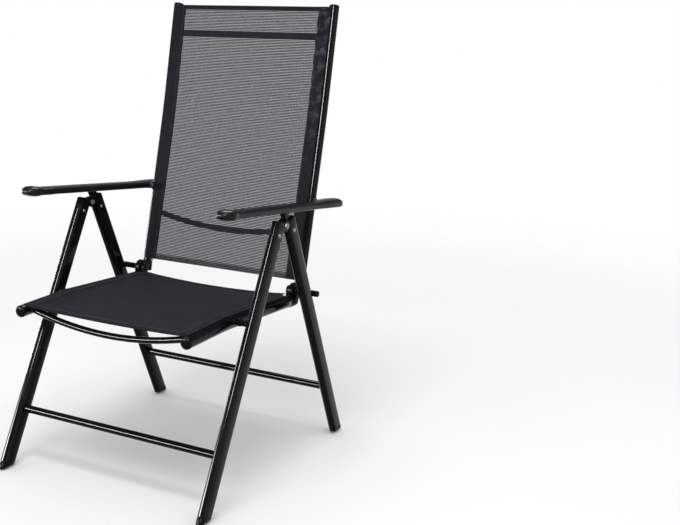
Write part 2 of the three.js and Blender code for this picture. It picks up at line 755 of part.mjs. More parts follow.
// Point on the straight lower part of the back tube's axis, at a height
function backAxis(height) {
  const footY = hingeAt.y + backTubeOffset * Math.cos(lowerLean);
  const footZ = hingeAt.z - backTubeOffset * Math.sin(lowerLean);
  const straight = footY + (Math.min(height, backBendHeight) - footZ) * Math.tan(lowerLean);
  const bent = Math.max(height - backBendHeight, 0) * Math.tan(upperLean);
  return new THREE.Vector3(backX, straight + bent, height);
}

const backStartHeight = hingeAt.z - backTubeOffset * Math.sin(lowerLean)
  + (backTubeStart + fit) * Math.cos(lowerLean);
const backTopHeight = chairHeight - (tubeCapDome + fit) * Math.cos(upperLean)
  - backRadius * capShoulder * Math.sin(upperLean);
const backStart = backAxis(backStartHeight);
const backTop = backAxis(backTopHeight);
const backPath = bentPath(backStart, backAxis(backBendHeight), backTop, backBendBlend);

// The arm's middle line, at its slope, passes above the catch pin and meets the back tube's axis at the pivot
const armTilt = armSlope * degrees;
const backLine = backAxis(0);
const armPivotHeight = (armPinDrop + catchAt.z * Math.cos(armTilt) + (catchAt.y - backLine.y) * Math.sin(armTilt))
  / (Math.cos(armTilt) + Math.tan(lowerLean) * Math.sin(armTilt));
const armPivotAt = backAxis(armPivotHeight);
const armPivotRoom = armPivotBoltDiameter / 2 + pinPlay;
const backRivetAt = backAxis(backStartHeight + backPlugShank / 2);
const backTube = cut(
  alongPath(backPath, hollowShape(backTubeDiameter, backTubeDiameter, backTubeWall), tubeSteps),
  rod(backX - backTubeDiameter, backX + backTubeDiameter, armPivotAt.y, armPivotAt.z, armPivotRoom),
  rod(backX - backTubeDiameter, backX + backTubeDiameter, backRivetAt.y, backRivetAt.z, rivetHole),
);
addPair(back, 'back_tube', backTube, coatedSteel);

const backCap = domeCap(backTubeDiameter, backTubeWall, tubeCapDome, tubeCapShank);
const backUp = new THREE.Vector3(0, Math.sin(upperLean), Math.cos(upperLean));
addPair(back, 'back_top_cap', placedCap(backCap, backTop, backUp), blackPlastic);

const straightBow = new THREE.Vector3();
const headBar = copedBar(backAxis(chairHeight - headBarDrop), straightBow, headBarDiameter, backBarWall,
  backPath, backTubeDiameter);
addPiece(back, 'back_head_bar', headBar, coatedSteel);

const alongBack = new THREE.Vector3(0, Math.sin(lowerLean), Math.cos(lowerLean));
const behindBack = new THREE.Vector3(0, Math.cos(lowerLean), -Math.sin(lowerLean));
const lumbarBow = alongBack.clone().multiplyScalar(-lumbarBarBow).addScaledVector(behindBack, lumbarBarSet);
const lumbarBar = copedBar(backAxis(hingeAt.z + lumbarBarRise), lumbarBow, lumbarBarDiameter, backBarWall,
  backPath, backTubeDiameter);
addPiece(back, 'back_lumbar_bar', lumbarBar, coatedSteel);

// The plug's own frame: the hinge is its origin and the tube stands upright behind it
function backPlug() {
  const bar = (diameter, low, high) => {
    const round = upright(backX, ovalShape(diameter, diameter), low, high);
    return round.translate(0, backTubeOffset, 0);
  };
  const neck = new THREE.Shape();
  neck.moveTo(0, -backPlugDrop);
  neck.lineTo(backTubeOffset, -backPlugDrop);
  neck.lineTo(backTubeOffset, backTubeStart);
  neck.lineTo(0, backEarRadius);
  neck.closePath();
  const ear = join(
    plate(discShape(0, 0, backEarRadius), earInner, earOuter, earSteps),
    plate(neck, earInner, earOuter),
    bar(backTubeDiameter, -backPlugDrop, backTubeStart),
  );
  const tubeRoom = bar(backTubeDiameter + 4 * fit, backTubeStart, backTubeStart + backPlugShank);
  const shankDiameter = backTubeDiameter - 2 * (backTubeWall + fit);
  const whole = join(cut(ear, tubeRoom), bar(shankDiameter, 0, backTubeStart + backPlugShank));
  const pinHole = rod(earInner - past, earOuter + past, 0, 0, pinRoom);
  const placed = cut(whole, pinHole).rotateX(-lowerLean).translate(0, hingeAt.y, hingeAt.z);
  const [inner, outer] = [backX - backTubeDiameter, backX + backTubeDiameter];
  return cut(placed, rod(inner, outer, backRivetAt.y, backRivetAt.z, rivetHole));
}
addPair(back, 'back_hinge_plug', backPlug(), blackPlastic);

const backRivet = fastener(backX - backRadius, backX + backRadius, backRivetAt.y, backRivetAt.z,
  rivetDiameter, rivetHeadDiameter, rivetHeadHeight);
addPair(back, 'back_plug_rivet', backRivet, zincSteel);

// Slings lie on the tubes along their outer edges and sag as a parabola between them

const seatSlingRear = seatRearReach + seatSlingTail;

function seatSlingPoint(u, v) {
  const side = 2 * u - 1;
  const hollow = 1 - side * side;
  const behind = -seatSlingFront + hollow * slingCurveIn * (1 - v) + v * (seatSlingRear + seatSlingFront);
  const axis = seatAxis(behind);
  const lift = seatRadius + fit + seatSlingThickness / 2;
  return new THREE.Vector3(side * seatX, axis.y, axis.z + lift - seatSlingSag * hollow);
}

function seatSling() {
  const cloth = sheet(seatSlingPoint, seatSlingThickness, slingColumns, slingRows);
  const notch = new THREE.BoxGeometry(2 * slingNotch, 2 * (seatSlingTail + slingNotchSet), 4 * seatTubeDiameter);
  notch.translate(seatX, seatPivotY + seatSlingRear, seatPivotHeight);
  return cut(cloth, notch, mirrored(notch));
}
addPiece(seat, 'seat_sling', seatSling(), seatFabric);

const slingStart = (hingeAt.z + backSlingRise - backStart.z) / (backTop.z - backStart.z);
const slingEnd = (chairHeight - backSlingDrop - backStart.z) / (backTop.z - backStart.z);

function backSlingPoint(u, v) {
  const side = 2 * u - 1;
  const share = THREE.MathUtils.clamp(THREE.MathUtils.lerp(slingStart, slingEnd, v), 0, 1);
  const axis = backPath.getPointAt(share);
  const ahead = backPath.getTangentAt(share).cross(X).negate();
  const sag = backSlingSag * (1 - side * side) * Math.sin(Math.PI * THREE.MathUtils.clamp(v, 0, 1));
  axis.addScaledVector(ahead, backRadius + 2 * fit + backSlingThickness / 2 - sag);
  return axis.setX(side * backX);
}
addPiece(back, 'back_sling', sheet(backSlingPoint, backSlingThickness, slingColumns, slingRows), backFabric);

// Arms, in a frame whose origin is the arm pivot and whose Y runs along the arm to the rear

const arms = new THREE.Group();
arms.position.set(0, armPivotAt.y, armPivotAt.z);
arms.rotation.x = -armTilt;
chair.add(arms);

const armLength = armFrontReach + armRearReach;
const armStations = [
  { at: 0, half: armNoseHalf, rise: armNoseRise, drop: armNoseDrop },
  { at: armNoseLength, half: armNoseHalf, rise: armNoseRise, drop: armNoseDrop },
  { at: armNeckLength, half: armNeckHalf, rise: armNeckRise, drop: armNeckDrop },
  { at: armBarStart, half: armBarHalf, rise: armBarRise, drop: armBarDrop },
  { at: armLength - armPaddleLength - armPaddleTaper, half: armBarHalf, rise: armBarRise, drop: armBarDrop },
  { at: armLength - armPaddleLength, half: armPaddleHalf, rise: armPaddleRise, drop: armBarDrop },
  { at: armLength, half: armPaddleHalf, rise: armPaddleRise, drop: armBarDrop },
];

// Half width, rise and drop at a distance from the front tip, with rounded ends
function armSize(distance) {
  const last = armStations.length - 1;
  let index = 0;
  while (index < last - 1 && distance > armStations[index + 1].at) index += 1;
  const [from, to] = [armStations[index], armStations[index + 1]];
  const share = THREE.MathUtils.smoothstep(distance, from.at, to.at);
  const near = Math.min(distance / armNoseLength, (armLength - distance) / armTailRound, 1);
  const round = Math.sqrt(Math.max(1 - (1 - near) ** 2, 0));
  const blend = (key) => THREE.MathUtils.lerp(from[key], to[key], share) * round;
  return { half: blend('half'), rise: blend('rise'), drop: blend('drop') };
}

const signedPower = (value, power) => Math.sign(value) * Math.abs(value) ** power;

function armRing(distance) {
  const { half, rise, drop } = armSize(distance);
  const ring = [];
  for (let i = 0; i < armRingPoints; i += 1) {
    const turn = (i / armRingPoints) * 2 * Math.PI;
    const x = half * signedPower(Math.cos(turn), armSidePower);
    const height = Math.sin(turn);
    const z = height > 0 ? rise * height ** armTopPower : drop * signedPower(height, armUnderPower);
    ring.push(new THREE.Vector3(armX - x, distance - armFrontReach, z));
  }
  return ring;
}

function armSkin() {
  const rings = [];
  for (let i = 0; i <= armRings; i += 1) {
    const even = i / armRings;
    const spread = even - Math.sin(2 * Math.PI * even) * armRingCrowd;
    rings.push(armRing(THREE.MathUtils.lerp(armTipFlat, armLength - armTipFlat, spread)));
  }
  return loft(rings);
}

const hollowHalf = armBarHalf - armWall;
const hollowTop = armBarRise - armRoof;

function armHollow() {
  const middle = (armHollowRear - armHollowFront) / 2;
  const length = armHollowRear + armHollowFront;
  const room = new THREE.ExtrudeGeometry(ovalShape(2 * hollowHalf, length), {
    depth: hollowTop + 2 * armWall + legDepth,
    curveSegments: halfCircleSteps,
    bevelEnabled: false,
  });
  return room.translate(armX, middle, -2 * armWall - legDepth);
}

const armBossEnd = armX - armBossInset;
const armrest = cut(
  join(cut(armSkin(), armHollow()), rod(armFace, armBossEnd, 0, 0, armBossRadius - fit)),
  rod(armFace - past, armBossEnd + past, 0, 0, armPivotRoom),
);
addPair(arms, 'armrest', armrest, armPlastic);

arms.updateMatrixWorld();
const pinInArm = arms.worldToLocal(catchAt.clone());
const toothTip = pinInArm.z + catchPinDiameter / 2 + rackPlay;
const rackInner = armX - hollowHalf + fit;
const rackFront = pinInArm.y - rackAhead;
const rackRear = pinInArm.y + rackBehind;

// Strip under the arm's roof, notched from the pin's place at rest forwards
function rackShape() {
  const roof = hollowTop - fit;
  const shape = new THREE.Shape();
  shape.moveTo(rackFront, roof);
  shape.lineTo(rackFront, toothTip - rackToothDepth);
  shape.lineTo(rackFront + rackLug, toothTip - rackToothDepth);
  shape.lineTo(rackFront + rackLug, toothTip);
  for (let notch = rackNotches - 1; notch >= 0; notch -= 1) {
    const middle = pinInArm.y - notch * rackPitch;
    shape.absarc(middle, toothTip, rackPitch / 2 - rackToothHalf, Math.PI, 0, true);
  }
  shape.lineTo(rackRear - rackLug, toothTip);
  shape.lineTo(rackRear - rackLug, toothTip - rackToothDepth);
  shape.lineTo(rackRear, toothTip - rackToothDepth);
  shape.lineTo(rackRear, roof);
  shape.closePath();
  return shape;
}
addPair(arms, 'arm_rack', plate(rackShape(), rackInner, rackInner + rackWidth), blackPlastic);

const washerInner = backX + backRadius + fit;
const armWasher = cut(
  rod(washerInner, armFace - fit, 0, 0, armWasherDiameter / 2),
  rod(washerInner - past, armFace, 0, 0, armPivotRoom),
);
addPair(arms, 'arm_washer', armWasher, zincSteel);

const armPivotBolt = fastener(backX - backRadius, armBossEnd, 0, 0, armPivotBoltDiameter,
  armPivotHeadDiameter, boltHeadHeight);
addPair(arms, 'arm_pivot_bolt', armPivotBolt, zincSteel);

// The origin stands on the floor under the middle of the whole chair
const part = new THREE.Group();
part.add(chair);
const extent = new THREE.Box3().setFromObject(part, true);
chair.position.y = -(extent.min.y + extent.max.y) / 2;

export default part;
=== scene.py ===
import json
import math

import bmesh
import bpy
import numpy as np
from mathutils import Matrix


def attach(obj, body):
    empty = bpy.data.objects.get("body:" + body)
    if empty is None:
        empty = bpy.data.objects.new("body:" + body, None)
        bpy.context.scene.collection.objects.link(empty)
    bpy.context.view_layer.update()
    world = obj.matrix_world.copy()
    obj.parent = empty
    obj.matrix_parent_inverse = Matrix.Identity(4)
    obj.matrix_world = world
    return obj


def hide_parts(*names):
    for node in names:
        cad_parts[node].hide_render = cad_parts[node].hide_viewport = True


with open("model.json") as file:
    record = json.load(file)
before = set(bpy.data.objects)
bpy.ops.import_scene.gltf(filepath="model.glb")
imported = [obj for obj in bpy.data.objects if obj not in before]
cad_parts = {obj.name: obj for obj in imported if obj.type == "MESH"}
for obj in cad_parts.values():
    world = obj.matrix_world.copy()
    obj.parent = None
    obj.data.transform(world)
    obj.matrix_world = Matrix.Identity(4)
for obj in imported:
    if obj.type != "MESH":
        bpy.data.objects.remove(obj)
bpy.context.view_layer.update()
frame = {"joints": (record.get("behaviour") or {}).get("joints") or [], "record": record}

scene = bpy.context.scene
mm = 0.001  # everything below is worked out in millimetres
gap = 0.3  # between pieces that are fitted to each other
weld = 1.2  # how far the end of a bar runs into the tube that carries it
cutEdge = 0.01  # edge radius of shapes that only cut, all but sharp
sideX = (1, 0, 0)
sideY = (0, 1, 0)


def placeOf(rows, name):
    return np.array(next(row["pos_m"] for row in rows if row["name"] == name)) / mm


# Where the axes of the chair lie in its side view, as (behind, up), and the soles of its left side
legHinge, seatPivot, backHinge, armPivot = (
    placeOf(frame["joints"], name)[1:] for name in ("rear_legs_swing", "fold", "recline", "arms_fold"))
frontSole, rearSole = (
    placeOf(frame["record"]["mounts"], name) for name in ("front_left_sole", "rear_left_sole"))
legX = frontSole[0]
print("frame read, leg hinge at", legHinge.round(1).tolist())


# Colours and nodes
def hexColour(code):
    channels = np.array([int(code[i:i + 2], 16) for i in (1, 3, 5)]) / 255
    linear = np.where(channels <= 0.04045, channels / 12.92, ((channels + 0.055) / 1.055) ** 2.4)
    return (*linear.tolist(), 1.0)


# Settings that start with a small letter belong to the node, all others to its inputs, set or linked
def addNode(tree, kind, settings=None):
    node = tree.nodes.new("ShaderNode" + kind)
    for key, value in (settings or {}).items():
        if isinstance(key, str) and key[0].islower():
            setattr(node, key, value)
        elif isinstance(value, bpy.types.NodeSocket):
            tree.links.new(value, node.inputs[key])
        else:
            node.inputs[key].default_value = value
    return node


# Steps that finishes share. Each gives the socket that the next step reads. A socket knows its own tree
def placeIn(tree):
    return addNode(tree, "TexCoord").outputs["Object"]


def noise(vector, size, detail):
    settings = {"Vector": vector, "Scale": 1 / (size * mm), "Detail": detail}
    return addNode(vector.id_data, "TexNoise", settings).outputs["Fac"]


def ranged(value, start, end, low=0.0, high=1.0, kind="LINEAR"):
    settings = {"interpolation_type": kind, "Value": value, "From Min": start, "From Max": end,
                "To Min": low, "To Max": high}
    return addNode(value.id_data, "MapRange", settings).outputs["Result"]


def figured(operation, *values):
    tree = next(one.id_data for one in values if isinstance(one, bpy.types.NodeSocket))
    return addNode(tree, "Math", {"operation": operation, **dict(enumerate(values))}).outputs[0]


def blended(share, first, second):
    return addNode(share.id_data, "Mix", {"data_type": "RGBA", 0: share, 6: first, 7: second}).outputs[2]


def tinted(share, look):
    return blended(share, *map(hexColour, look["tints"]))


def bumped(height, strength, depth):
    settings = {"Strength": strength, "Distance": depth * mm, "Height": height}
    return addNode(height.id_data, "Bump", settings).outputs["Normal"]


def startFinish(name):
    finish = bpy.data.materials.new(name)
    finish.use_nodes = True
    finish.node_tree.nodes.clear()
    return finish, finish.node_tree


def endFinish(finish, settings):
    shader = addNode(finish.node_tree, "BsdfPrincipled", settings)
    addNode(finish.node_tree, "OutputMaterial", {"Surface": shader.outputs["BSDF"]})
    return finish


noiseSpread = (0.3, 0.7)  # nearly all values of a noise lie between these

# Powder coat, black, baked on steel tube: near black with crisp thin highlights, a faint orange peel of about
# 2.5 mm, and slow clouds in the gloss where the coat flowed. Under the cloth it is rubbed dull
coatLook = {"name": "glossBlackPowderCoat", "tints": ("#08080a", "#101013"), "grain": (2.5, 1.5),
            "cloud": (45, 3), "bump": (0.05, 0.2), "gloss": (0.08, 0.14), "index": 1.45, "shine": 0.4}
rubbedLook = dict(coatLook, name="rubbedBlackPowderCoat", gloss=(0.5, 0.62), shine=0.1)

# Moulded plastics: dark with broad soft highlights, a fine spark-eroded grain, drawn at over 1 mm so that it
# shows, and clouds of slightly different gloss from the mould and from handling
plugLook = {"name": "mouldedBlackNylon", "tints": ("#0b0b0d", "#141417"), "grain": (1.2, 2),
            "cloud": (30, 4), "bump": (0.1, 0.3), "gloss": (0.2, 0.3), "index": 1.5, "shine": 0.14}
armLook = {"name": "mouldedGreyPolypropylene", "tints": ("#0f1013", "#18191d"), "grain": (1.4, 2),
           "cloud": (60, 4), "bump": (0.02, 0.3), "gloss": (0.28, 0.36), "index": 1.5, "shine": 0.32}

# Zinc-plated steel: bright bluish silver, with a dulling that comes in spots of about 3 mm
zincLook = {"name": "zincPlatedSteel", "tints": ("#e2e5ea", "#b4b8be"), "cloud": (3, 3), "gloss": (0.36, 0.5)}


# Coat, plastic and zinc share one build: clouds carry shade and gloss, and a grain, if any, is a bump. grain
# and cloud are a size in millimetres and the noise's detail, bump a strength and a depth in millimetres
def makeSkin(look):
    finish, tree = startFinish(look["name"])
    where = placeIn(tree)
    cloud = noise(where, *look["cloud"])
    settings = {"Base Color": tinted(cloud, look),
                "Roughness": ranged(cloud, *noiseSpread, *look["gloss"])}
    if "grain" in look:
        normal = bumped(noise(where, *look["grain"]), *look["bump"])
        settings.update({"Normal": normal, "IOR": look["index"], "Specular IOR Level": look["shine"]})
    else:
        settings["Metallic"] = 1.0
    return endFinish(finish, settings)


# Sling cloth: plain weave of polyester yarn in a vinyl coat, so each yarn is a smooth dark cord with a soft
# sheen. The real yarns lie about 1.2 mm apart, which no pixel of the render shows, so they are drawn at the
# pitches below, across and along. yarn is the share of the pitch that a yarn covers, and the rest is open
backWeave = {"name": "openPolyesterMesh", "pitch": (3.0, 3.9), "yarn": (0.57, 0.63),
             "tints": ("#14141e", "#3a3a4c"), "gloss": 0.6, "shine": 0.08}
seatWeave = {"name": "closePolyesterMesh", "pitch": (3.6, 4.4), "yarn": (1.2, 1.2),
             "tints": ("#171820", "#30313e"), "gloss": 0.65, "shine": 0.06}
hemWeave = {"name": "doubledPolyesterHem", "pitch": (3.6, 4.4), "yarn": (1.2, 1.2),
            "tints": ("#101016", "#26262d"), "gloss": 0.5, "shine": 0.05}
# Pale patches on this hem are painted highlight, light caught on its wrinkles
glintHemWeave = dict(hemWeave, name="polyesterHemPaintedGlints", glintCloud=(26, 2), glintSpread=(0.5, 0.72), glintTint="#474750",
                      rise=(0.25, 0.45))
lowHemWeave = dict(backWeave, name="doubledOpenMesh", yarn=(0.25, 0.25))
yarnEdge = 0.08  # softness of a yarn's edge, as a share of the pitch
yarnLift = (0.6, 0.4)  # how much a yarn rises where it passes over, and its height where it passes under
yarnBump = (0.4, 0.6)  # strength, and depth in millimetres
dyeAndWeaveShadeCloud = (35, 3)  # size in millimetres and detail of the clouds in the dye and in the painted shade of the weave


# Both yarns are waves in the cloth's own coordinates, which are metres across and along. A yarn's height is a
# round crown over its middle, lifted where it passes over the other yarn, in a chequer of crossings. The same
# height, times
# a cloud, is painted shade and highlight: each yarn paler on its crown, darker at its edges and where it
# passes under.
# A hem with glints has pale patches, of the size and detail in its glint cloud, in its upper part: painted
# highlight where the hem's wrinkles catch light
def makeWeave(look):
    finish, tree = startFinish(look["name"])
    cloth = addNode(tree, "UVMap", {"uv_map": "cloth"}).outputs["UV"]
    split = addNode(tree, "SeparateXYZ", {"Vector": cloth}).outputs
    counts, covers, crowns = [], [], []
    for axis, pitch, share in zip("XY", look["pitch"], look["yarn"]):
        count = figured("MULTIPLY", split[axis], 1 / (pitch * mm))
        off = figured("PINGPONG", count, 0.5)
        counts.append(figured("ROUND", count))
        covers.append(ranged(off, share / 2 + yarnEdge, share / 2 - yarnEdge))
        crowns.append(ranged(off, share / 2, 0.0, kind="SMOOTHSTEP"))
    over = figured("PINGPONG", figured("ADD", *counts), 1.0)
    under = figured("SUBTRACT", 1.0, over)
    lifts = [figured("MULTIPLY_ADD", turn, *yarnLift) for turn in (over, under)]
    height = figured("MAXIMUM", *(figured("MULTIPLY", *pair) for pair in zip(crowns, lifts)))
    # Painted shade and highlight of the weave's relief: crowns paler, yarn edges and under-passes darker,
    # varied in clouds
    tint = tinted(figured("MULTIPLY", height, noise(cloth, *dyeAndWeaveShadeCloud)), look)
    # Painted highlight: pale patches in the hem's upper part, where its wrinkles catch light
    if "glintCloud" in look:
        glintPatches = ranged(noise(cloth, *look["glintCloud"]), *look["glintSpread"])
        glintShare = figured("MULTIPLY", glintPatches, ranged(split["Y"], *look["rise"]))
        tint = blended(glintShare, tint, hexColour(look["glintTint"]))
    settings = {"Base Color": tint, "Normal": bumped(height, *yarnBump), "IOR": 1.5,
                "Roughness": look["gloss"], "Specular IOR Level": look["shine"], "Sheen Weight": 0.03}
    if min(look["yarn"]) < 1:
        settings["Alpha"] = figured("MAXIMUM", *covers)
    return endFinish(finish, settings)


# Bonded polyester thread: two plies twist about every 2 mm, dark charcoal with a slight shine
threadLook = {"tints": ("#1c1c21", "#3b3b43"), "twist": 2}
waveBands = 3  # about so many bands fill one unit of length in a wave of scale 1


def makeThread():
    finish, tree = startFinish("bondedPolyesterThread")
    where = placeIn(tree)
    wave = {"bands_direction": "DIAGONAL", "Vector": where, "Distortion": 0.5,
            "Scale": 1 / (threadLook["twist"] * mm * waveBands)}
    ply = addNode(tree, "TexWave", wave).outputs["Fac"]
    return endFinish(finish, {"Base Color": tinted(ply, threadLook), "Roughness": 0.5,
                              "Sheen Weight": 0.2})


powderCoat, rubbedCoat, plugPlastic, armPlastic, zincSteel = map(
    makeSkin, (coatLook, rubbedLook, plugLook, armLook, zincLook))
backCloth, seatCloth, hemCloth, glintHemCloth, lowHemCloth = map(
    makeWeave, (backWeave, seatWeave, hemWeave, glintHemWeave, lowHemWeave))
thread = makeThread()
coated = {"finish": powderCoat, "slot": "coated_steel"}
plastic = {"finish": plugPlastic, "slot": "black_plastic"}
zinc = {"finish": zincSteel, "slot": "zinc_steel"}
print("finishes made:", len(bpy.data.materials))


# Mesh helpers. A shell is (points, four-cornered faces, end faces with many corners)
def unit(vectors):
    return vectors / np.maximum(np.linalg.norm(vectors, axis=-1, keepdims=True), 1e-9)


# Points from their coordinates, each an array of any fitting shape
def joined(*numbers):
    return np.stack(np.broadcast_arrays(*numbers), axis=-1)


# From 0 to 1 with a soft start and end
def eased(share):
    return share * share * (3 - 2 * share)


# From 0 to 1 as a quarter circle, steep at its start
def rounded(share):
    return np.sqrt(np.clip(1 - (1 - share) ** 2, 0, 1))


# Even steps of a whole turn
def turnSteps(count):
    return np.arange(count) / count * 2 * np.pi


# Faces of a grid of rows and columns, with either direction closed on itself where asked
def gridFaces(rows, columns, wrapRows=False, wrapColumns=True):
    here = np.arange(rows * columns).reshape(rows, columns)
    beside, below = np.roll(here, -1, 1), np.roll(here, -1, 0)
    corners = np.stack([here, beside, np.roll(beside, -1, 0), below], axis=-1)
    return corners[:rows - (not wrapRows), :columns - (not wrapColumns)].reshape(-1, 4)


# A shell from a grid, with the rows named in filled closed by one face each
def gridShell(grid, filled=(), wrapRows=False, wrapColumns=True):
    rows, columns = grid.shape[:2]
    ends = np.arange(rows * columns).reshape(rows, columns)[list(filled)]
    return grid.reshape(-1, 3), gridFaces(rows, columns, wrapRows, wrapColumns), ends


bothEnds = (0, -1)


# Flat-sided oval: half circles of radius width / 2 at both ends of the depth
def ovalProfile(width, depth, count=48):
    turn = turnSteps(count)
    radius = width / 2
    straight = np.where(np.sin(turn) >= 0, 1, -1) * max(depth / 2 - radius, 0)
    return joined(radius * np.cos(turn), radius * np.sin(turn) + straight)


# A profile carried along a path: each point is the path's point, plus the profile's first number along a side
# direction squared to the path, plus its second along the third direction
def carried(path, profile, sideways):
    tangent = unit(np.gradient(path, axis=0))
    sideways = np.array(sideways, float)
    across = unit(sideways - (tangent @ sideways)[:, None] * tangent)
    third = np.cross(tangent, across)
    profile = np.broadcast_to(profile, (len(path), *profile.shape[-2:]))
    return path[:, None] + across[:, None] * profile[..., :1] + third[:, None] * profile[..., 1:]


# A tube: the outer profile carried along the path, then the inner one back again, closed on itself
def tubeShell(path, width, depth, wall, sideways):
    path = np.array(path, float)
    outer = carried(path, ovalProfile(width, depth), sideways)
    inner = carried(path, ovalProfile(width - 2 * wall, depth - 2 * wall), sideways)
    return gridShell(np.concatenate([outer, inner[::-1]]), wrapRows=True)


def roundTube(path, diameter, wall, sideways=sideY):
    return tubeShell(path, diameter, diameter, wall, sideways)


# A solid round bar along a path, with a radius for each point of the path
def barShell(path, radius):
    return gridShell(carried(path, ovalProfile(1, 1)[None] * 2 * radius[:, None, None], sideX), bothEnds)


# A turned part: radius and reach of each ring, carried round a line across the chair. Where hexRows is given,
# those rings are six-sided, for a driving socket
def turnedShell(radius, reach, centre, sides=40, hexRows=()):
    radius, reach = np.array(radius, float)[:, None], np.array(reach, float)[:, None]
    turn = turnSteps(sides)[None, :]
    flat = np.cos(np.pi / 6) / np.cos(np.mod(turn, np.pi / 3) - np.pi / 6)
    isHex = np.isin(np.arange(len(radius)), list(hexRows))[:, None]
    spread = radius * np.where(isHex, flat, 1.0)
    return gridShell(joined(reach, centre[0] + spread * np.cos(turn), centre[1] + spread * np.sin(turn)))


# A bush or ring that is alike at both ends: radius of each ring and its distance from the end, for one half
def bushShell(half, inner, outer, centre, sides=40):
    radius, depth = np.array(half, float).T
    reach = np.concatenate([inner + depth, outer - depth[::-1]])
    return turnedShell(np.concatenate([radius, radius[::-1]]), reach, centre, sides)


# A fastener across the chair: lower head, shank, upper head. Rings are shares of a head's radius and height
def fastenerShell(inner, outer, centre, sizes, lower, upper, sides, hexRows=()):
    lower, upper = np.array(lower, float), np.array(upper, float)
    radius = [*lower[:, 0] * sizes["head"], sizes["shank"], sizes["shank"], *upper[:, 0] * sizes["head"]]
    reach = [*inner + lower[:, 1] * sizes["height"], inner, outer, *outer + upper[:, 1] * sizes["height"]]
    return turnedShell(radius, reach, centre, sides, hexRows)


bolt = {"shank": 4, "head": 6.5, "height": 3}
armBolt = dict(bolt, head=5.5)
bore = bolt["shank"] + gap
rivet = {"shank": 3, "head": 4.5, "height": 1.6}


# Bolt: flat lower head, and a domed one with a hexagon socket
def boltShell(inner, outer, centre, sizes):
    lower = [(0, -1), (0.86, -1), (1, -5 / 6), (1, 0)]
    upper = [(1, 0), (1, 0.35), (0.9, 0.75), (0.7, 1), (0.5, 1), (0.46, 0.9), (0.44, 0.3), (0, 0.3)]
    return fastenerShell(inner, outer, centre, sizes, lower, upper, 36, (10, 11, 12))


# Blind rivet through a tube: a low dome with the stub of its drawn pin in a small pit
def rivetShell(across, half, centre):
    lower = [(0, -1), (0.8, -1), (1, -0.3)]
    upper = [(1, 0), (0.92, 0.45), (0.6, 0.9), (0.34, 1), (0.3, 0.55), (0.26, 0.75), (0, 0.8)]
    return fastenerShell(across - half, across + half, centre, rivet, lower, upper, 28)


# A side-view outline given thickness across the chair. For its round edges, rows step round a quarter circle
# of the edge radius, each outline drawn in along its own normals
def plateShell(outline, inner, outer, edge, steps=4):
    outline = np.array(outline, float)
    after = np.roll(outline, -1, axis=0)
    one, two = unit(outline - np.roll(outline, 1, axis=0)), unit(after - outline)
    both = one + two
    inward = unit(joined(-both[:, 1], both[:, 0]))
    square = joined(-one[:, 1], one[:, 0])
    cosine = np.clip(np.sum(inward * square, axis=1, keepdims=True), 0.5, 1)
    area = np.sum(outline[:, 0] * after[:, 1] - after[:, 0] * outline[:, 1])
    inward = inward / cosine * np.sign(area)
    turn = np.linspace(0, np.pi / 2, steps + 1)
    inset = edge * np.concatenate([1 - np.sin(turn), 1 - np.cos(turn)])
    across = np.concatenate([inner + edge * (1 - np.cos(turn)), outer - edge * (1 - np.sin(turn))])
    rows = outline[None] + inward[None] * inset[:, None, None]
    return gridShell(joined(across[:, None], rows[..., 0], rows[..., 1]), bothEnds)


def discOutline(centre, radius, count=64, start=0.0, end=2 * np.pi):
    turn = np.linspace(start, end, count, endpoint=abs(end - start) < 2 * np.pi)
    return joined(centre[0] + radius * np.cos(turn), centre[1] + radius * np.sin(turn))


def leanTurn(lean):
    return np.array([[math.cos(lean), -math.sin(lean)], [math.sin(lean), math.cos(lean)]])


# From a leaning side frame (across, behind, up) to the chair's own frame
def placed(points, origin, lean):
    return np.concatenate([points[..., :1], points[..., 1:] @ leanTurn(lean) + origin], axis=-1)


# The other way, for a point of the chair's side view
def inFrame(point, origin, lean):
    return leanTurn(lean) @ (point - origin)


def addObject(name, data):
    thing = bpy.data.objects.new(name, data)
    scene.collection.objects.link(thing)
    return thing


def meshOf(shells, tidy=True):
    points, faces, base = [], [], 0
    for spots, quads, ends in shells:
        points.append(spots)
        faces += (quads + base).tolist() + [(end + base).tolist() for end in ends]
        base += len(spots)
    mesh = bpy.data.meshes.new("shape")
    mesh.from_pydata((np.concatenate(points) * mm).tolist(), [], faces)
    work = bmesh.new()
    work.from_mesh(mesh)
    if tidy:
        bmesh.ops.remove_doubles(work, verts=work.verts, dist=1e-6)
    bmesh.ops.recalc_face_normals(work, faces=work.faces)
    work.to_mesh(mesh)
    work.free()
    return mesh


# A shape is a mesh or one shell
def asMesh(shape):
    return shape if isinstance(shape, bpy.types.Mesh) else meshOf([shape])


# Joins or cuts one shape with others. A mesh that is removed takes its object with it
def worked(shape, operation, *tools):
    mesh = asMesh(shape)
    for tool in tools:
        holder = addObject("holder", mesh)
        cutter = addObject("cutter", asMesh(tool))
        step = holder.modifiers.new("step", "BOOLEAN")
        step.operation = operation
        step.solver = "EXACT"
        step.object = cutter
        graph = bpy.context.evaluated_depsgraph_get()
        mesh = bpy.data.meshes.new_from_object(holder.evaluated_get(graph))
        for used in (holder, cutter):
            bpy.data.meshes.remove(used.data)
    return mesh


# Puts new places, worked out from the old ones, into a mesh
def moved(mesh, change):
    spots = np.empty(len(mesh.vertices) * 3)
    mesh.vertices.foreach_get("co", spots)
    mesh.vertices.foreach_set("co", change(spots.reshape(-1, 3)).ravel())
    return mesh


# Turns a shape made in a leaning frame into the chair's own
def settled(shape, origin, lean):
    return moved(asMesh(shape), lambda spots: placed(spots / mm, origin, lean) * mm)


def addPiece(name, shape, look, body, nodes=(), sharp=32):
    mesh = asMesh(shape)
    mesh.name = name
    mesh.materials.clear()
    mesh.materials.append(look["finish"])
    mesh.shade_smooth()
    mesh.set_sharp_from_angle(angle=math.radians(sharp))
    thing = addObject(name, mesh)
    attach(thing, body)
    if nodes:
        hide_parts(*nodes)
    return thing


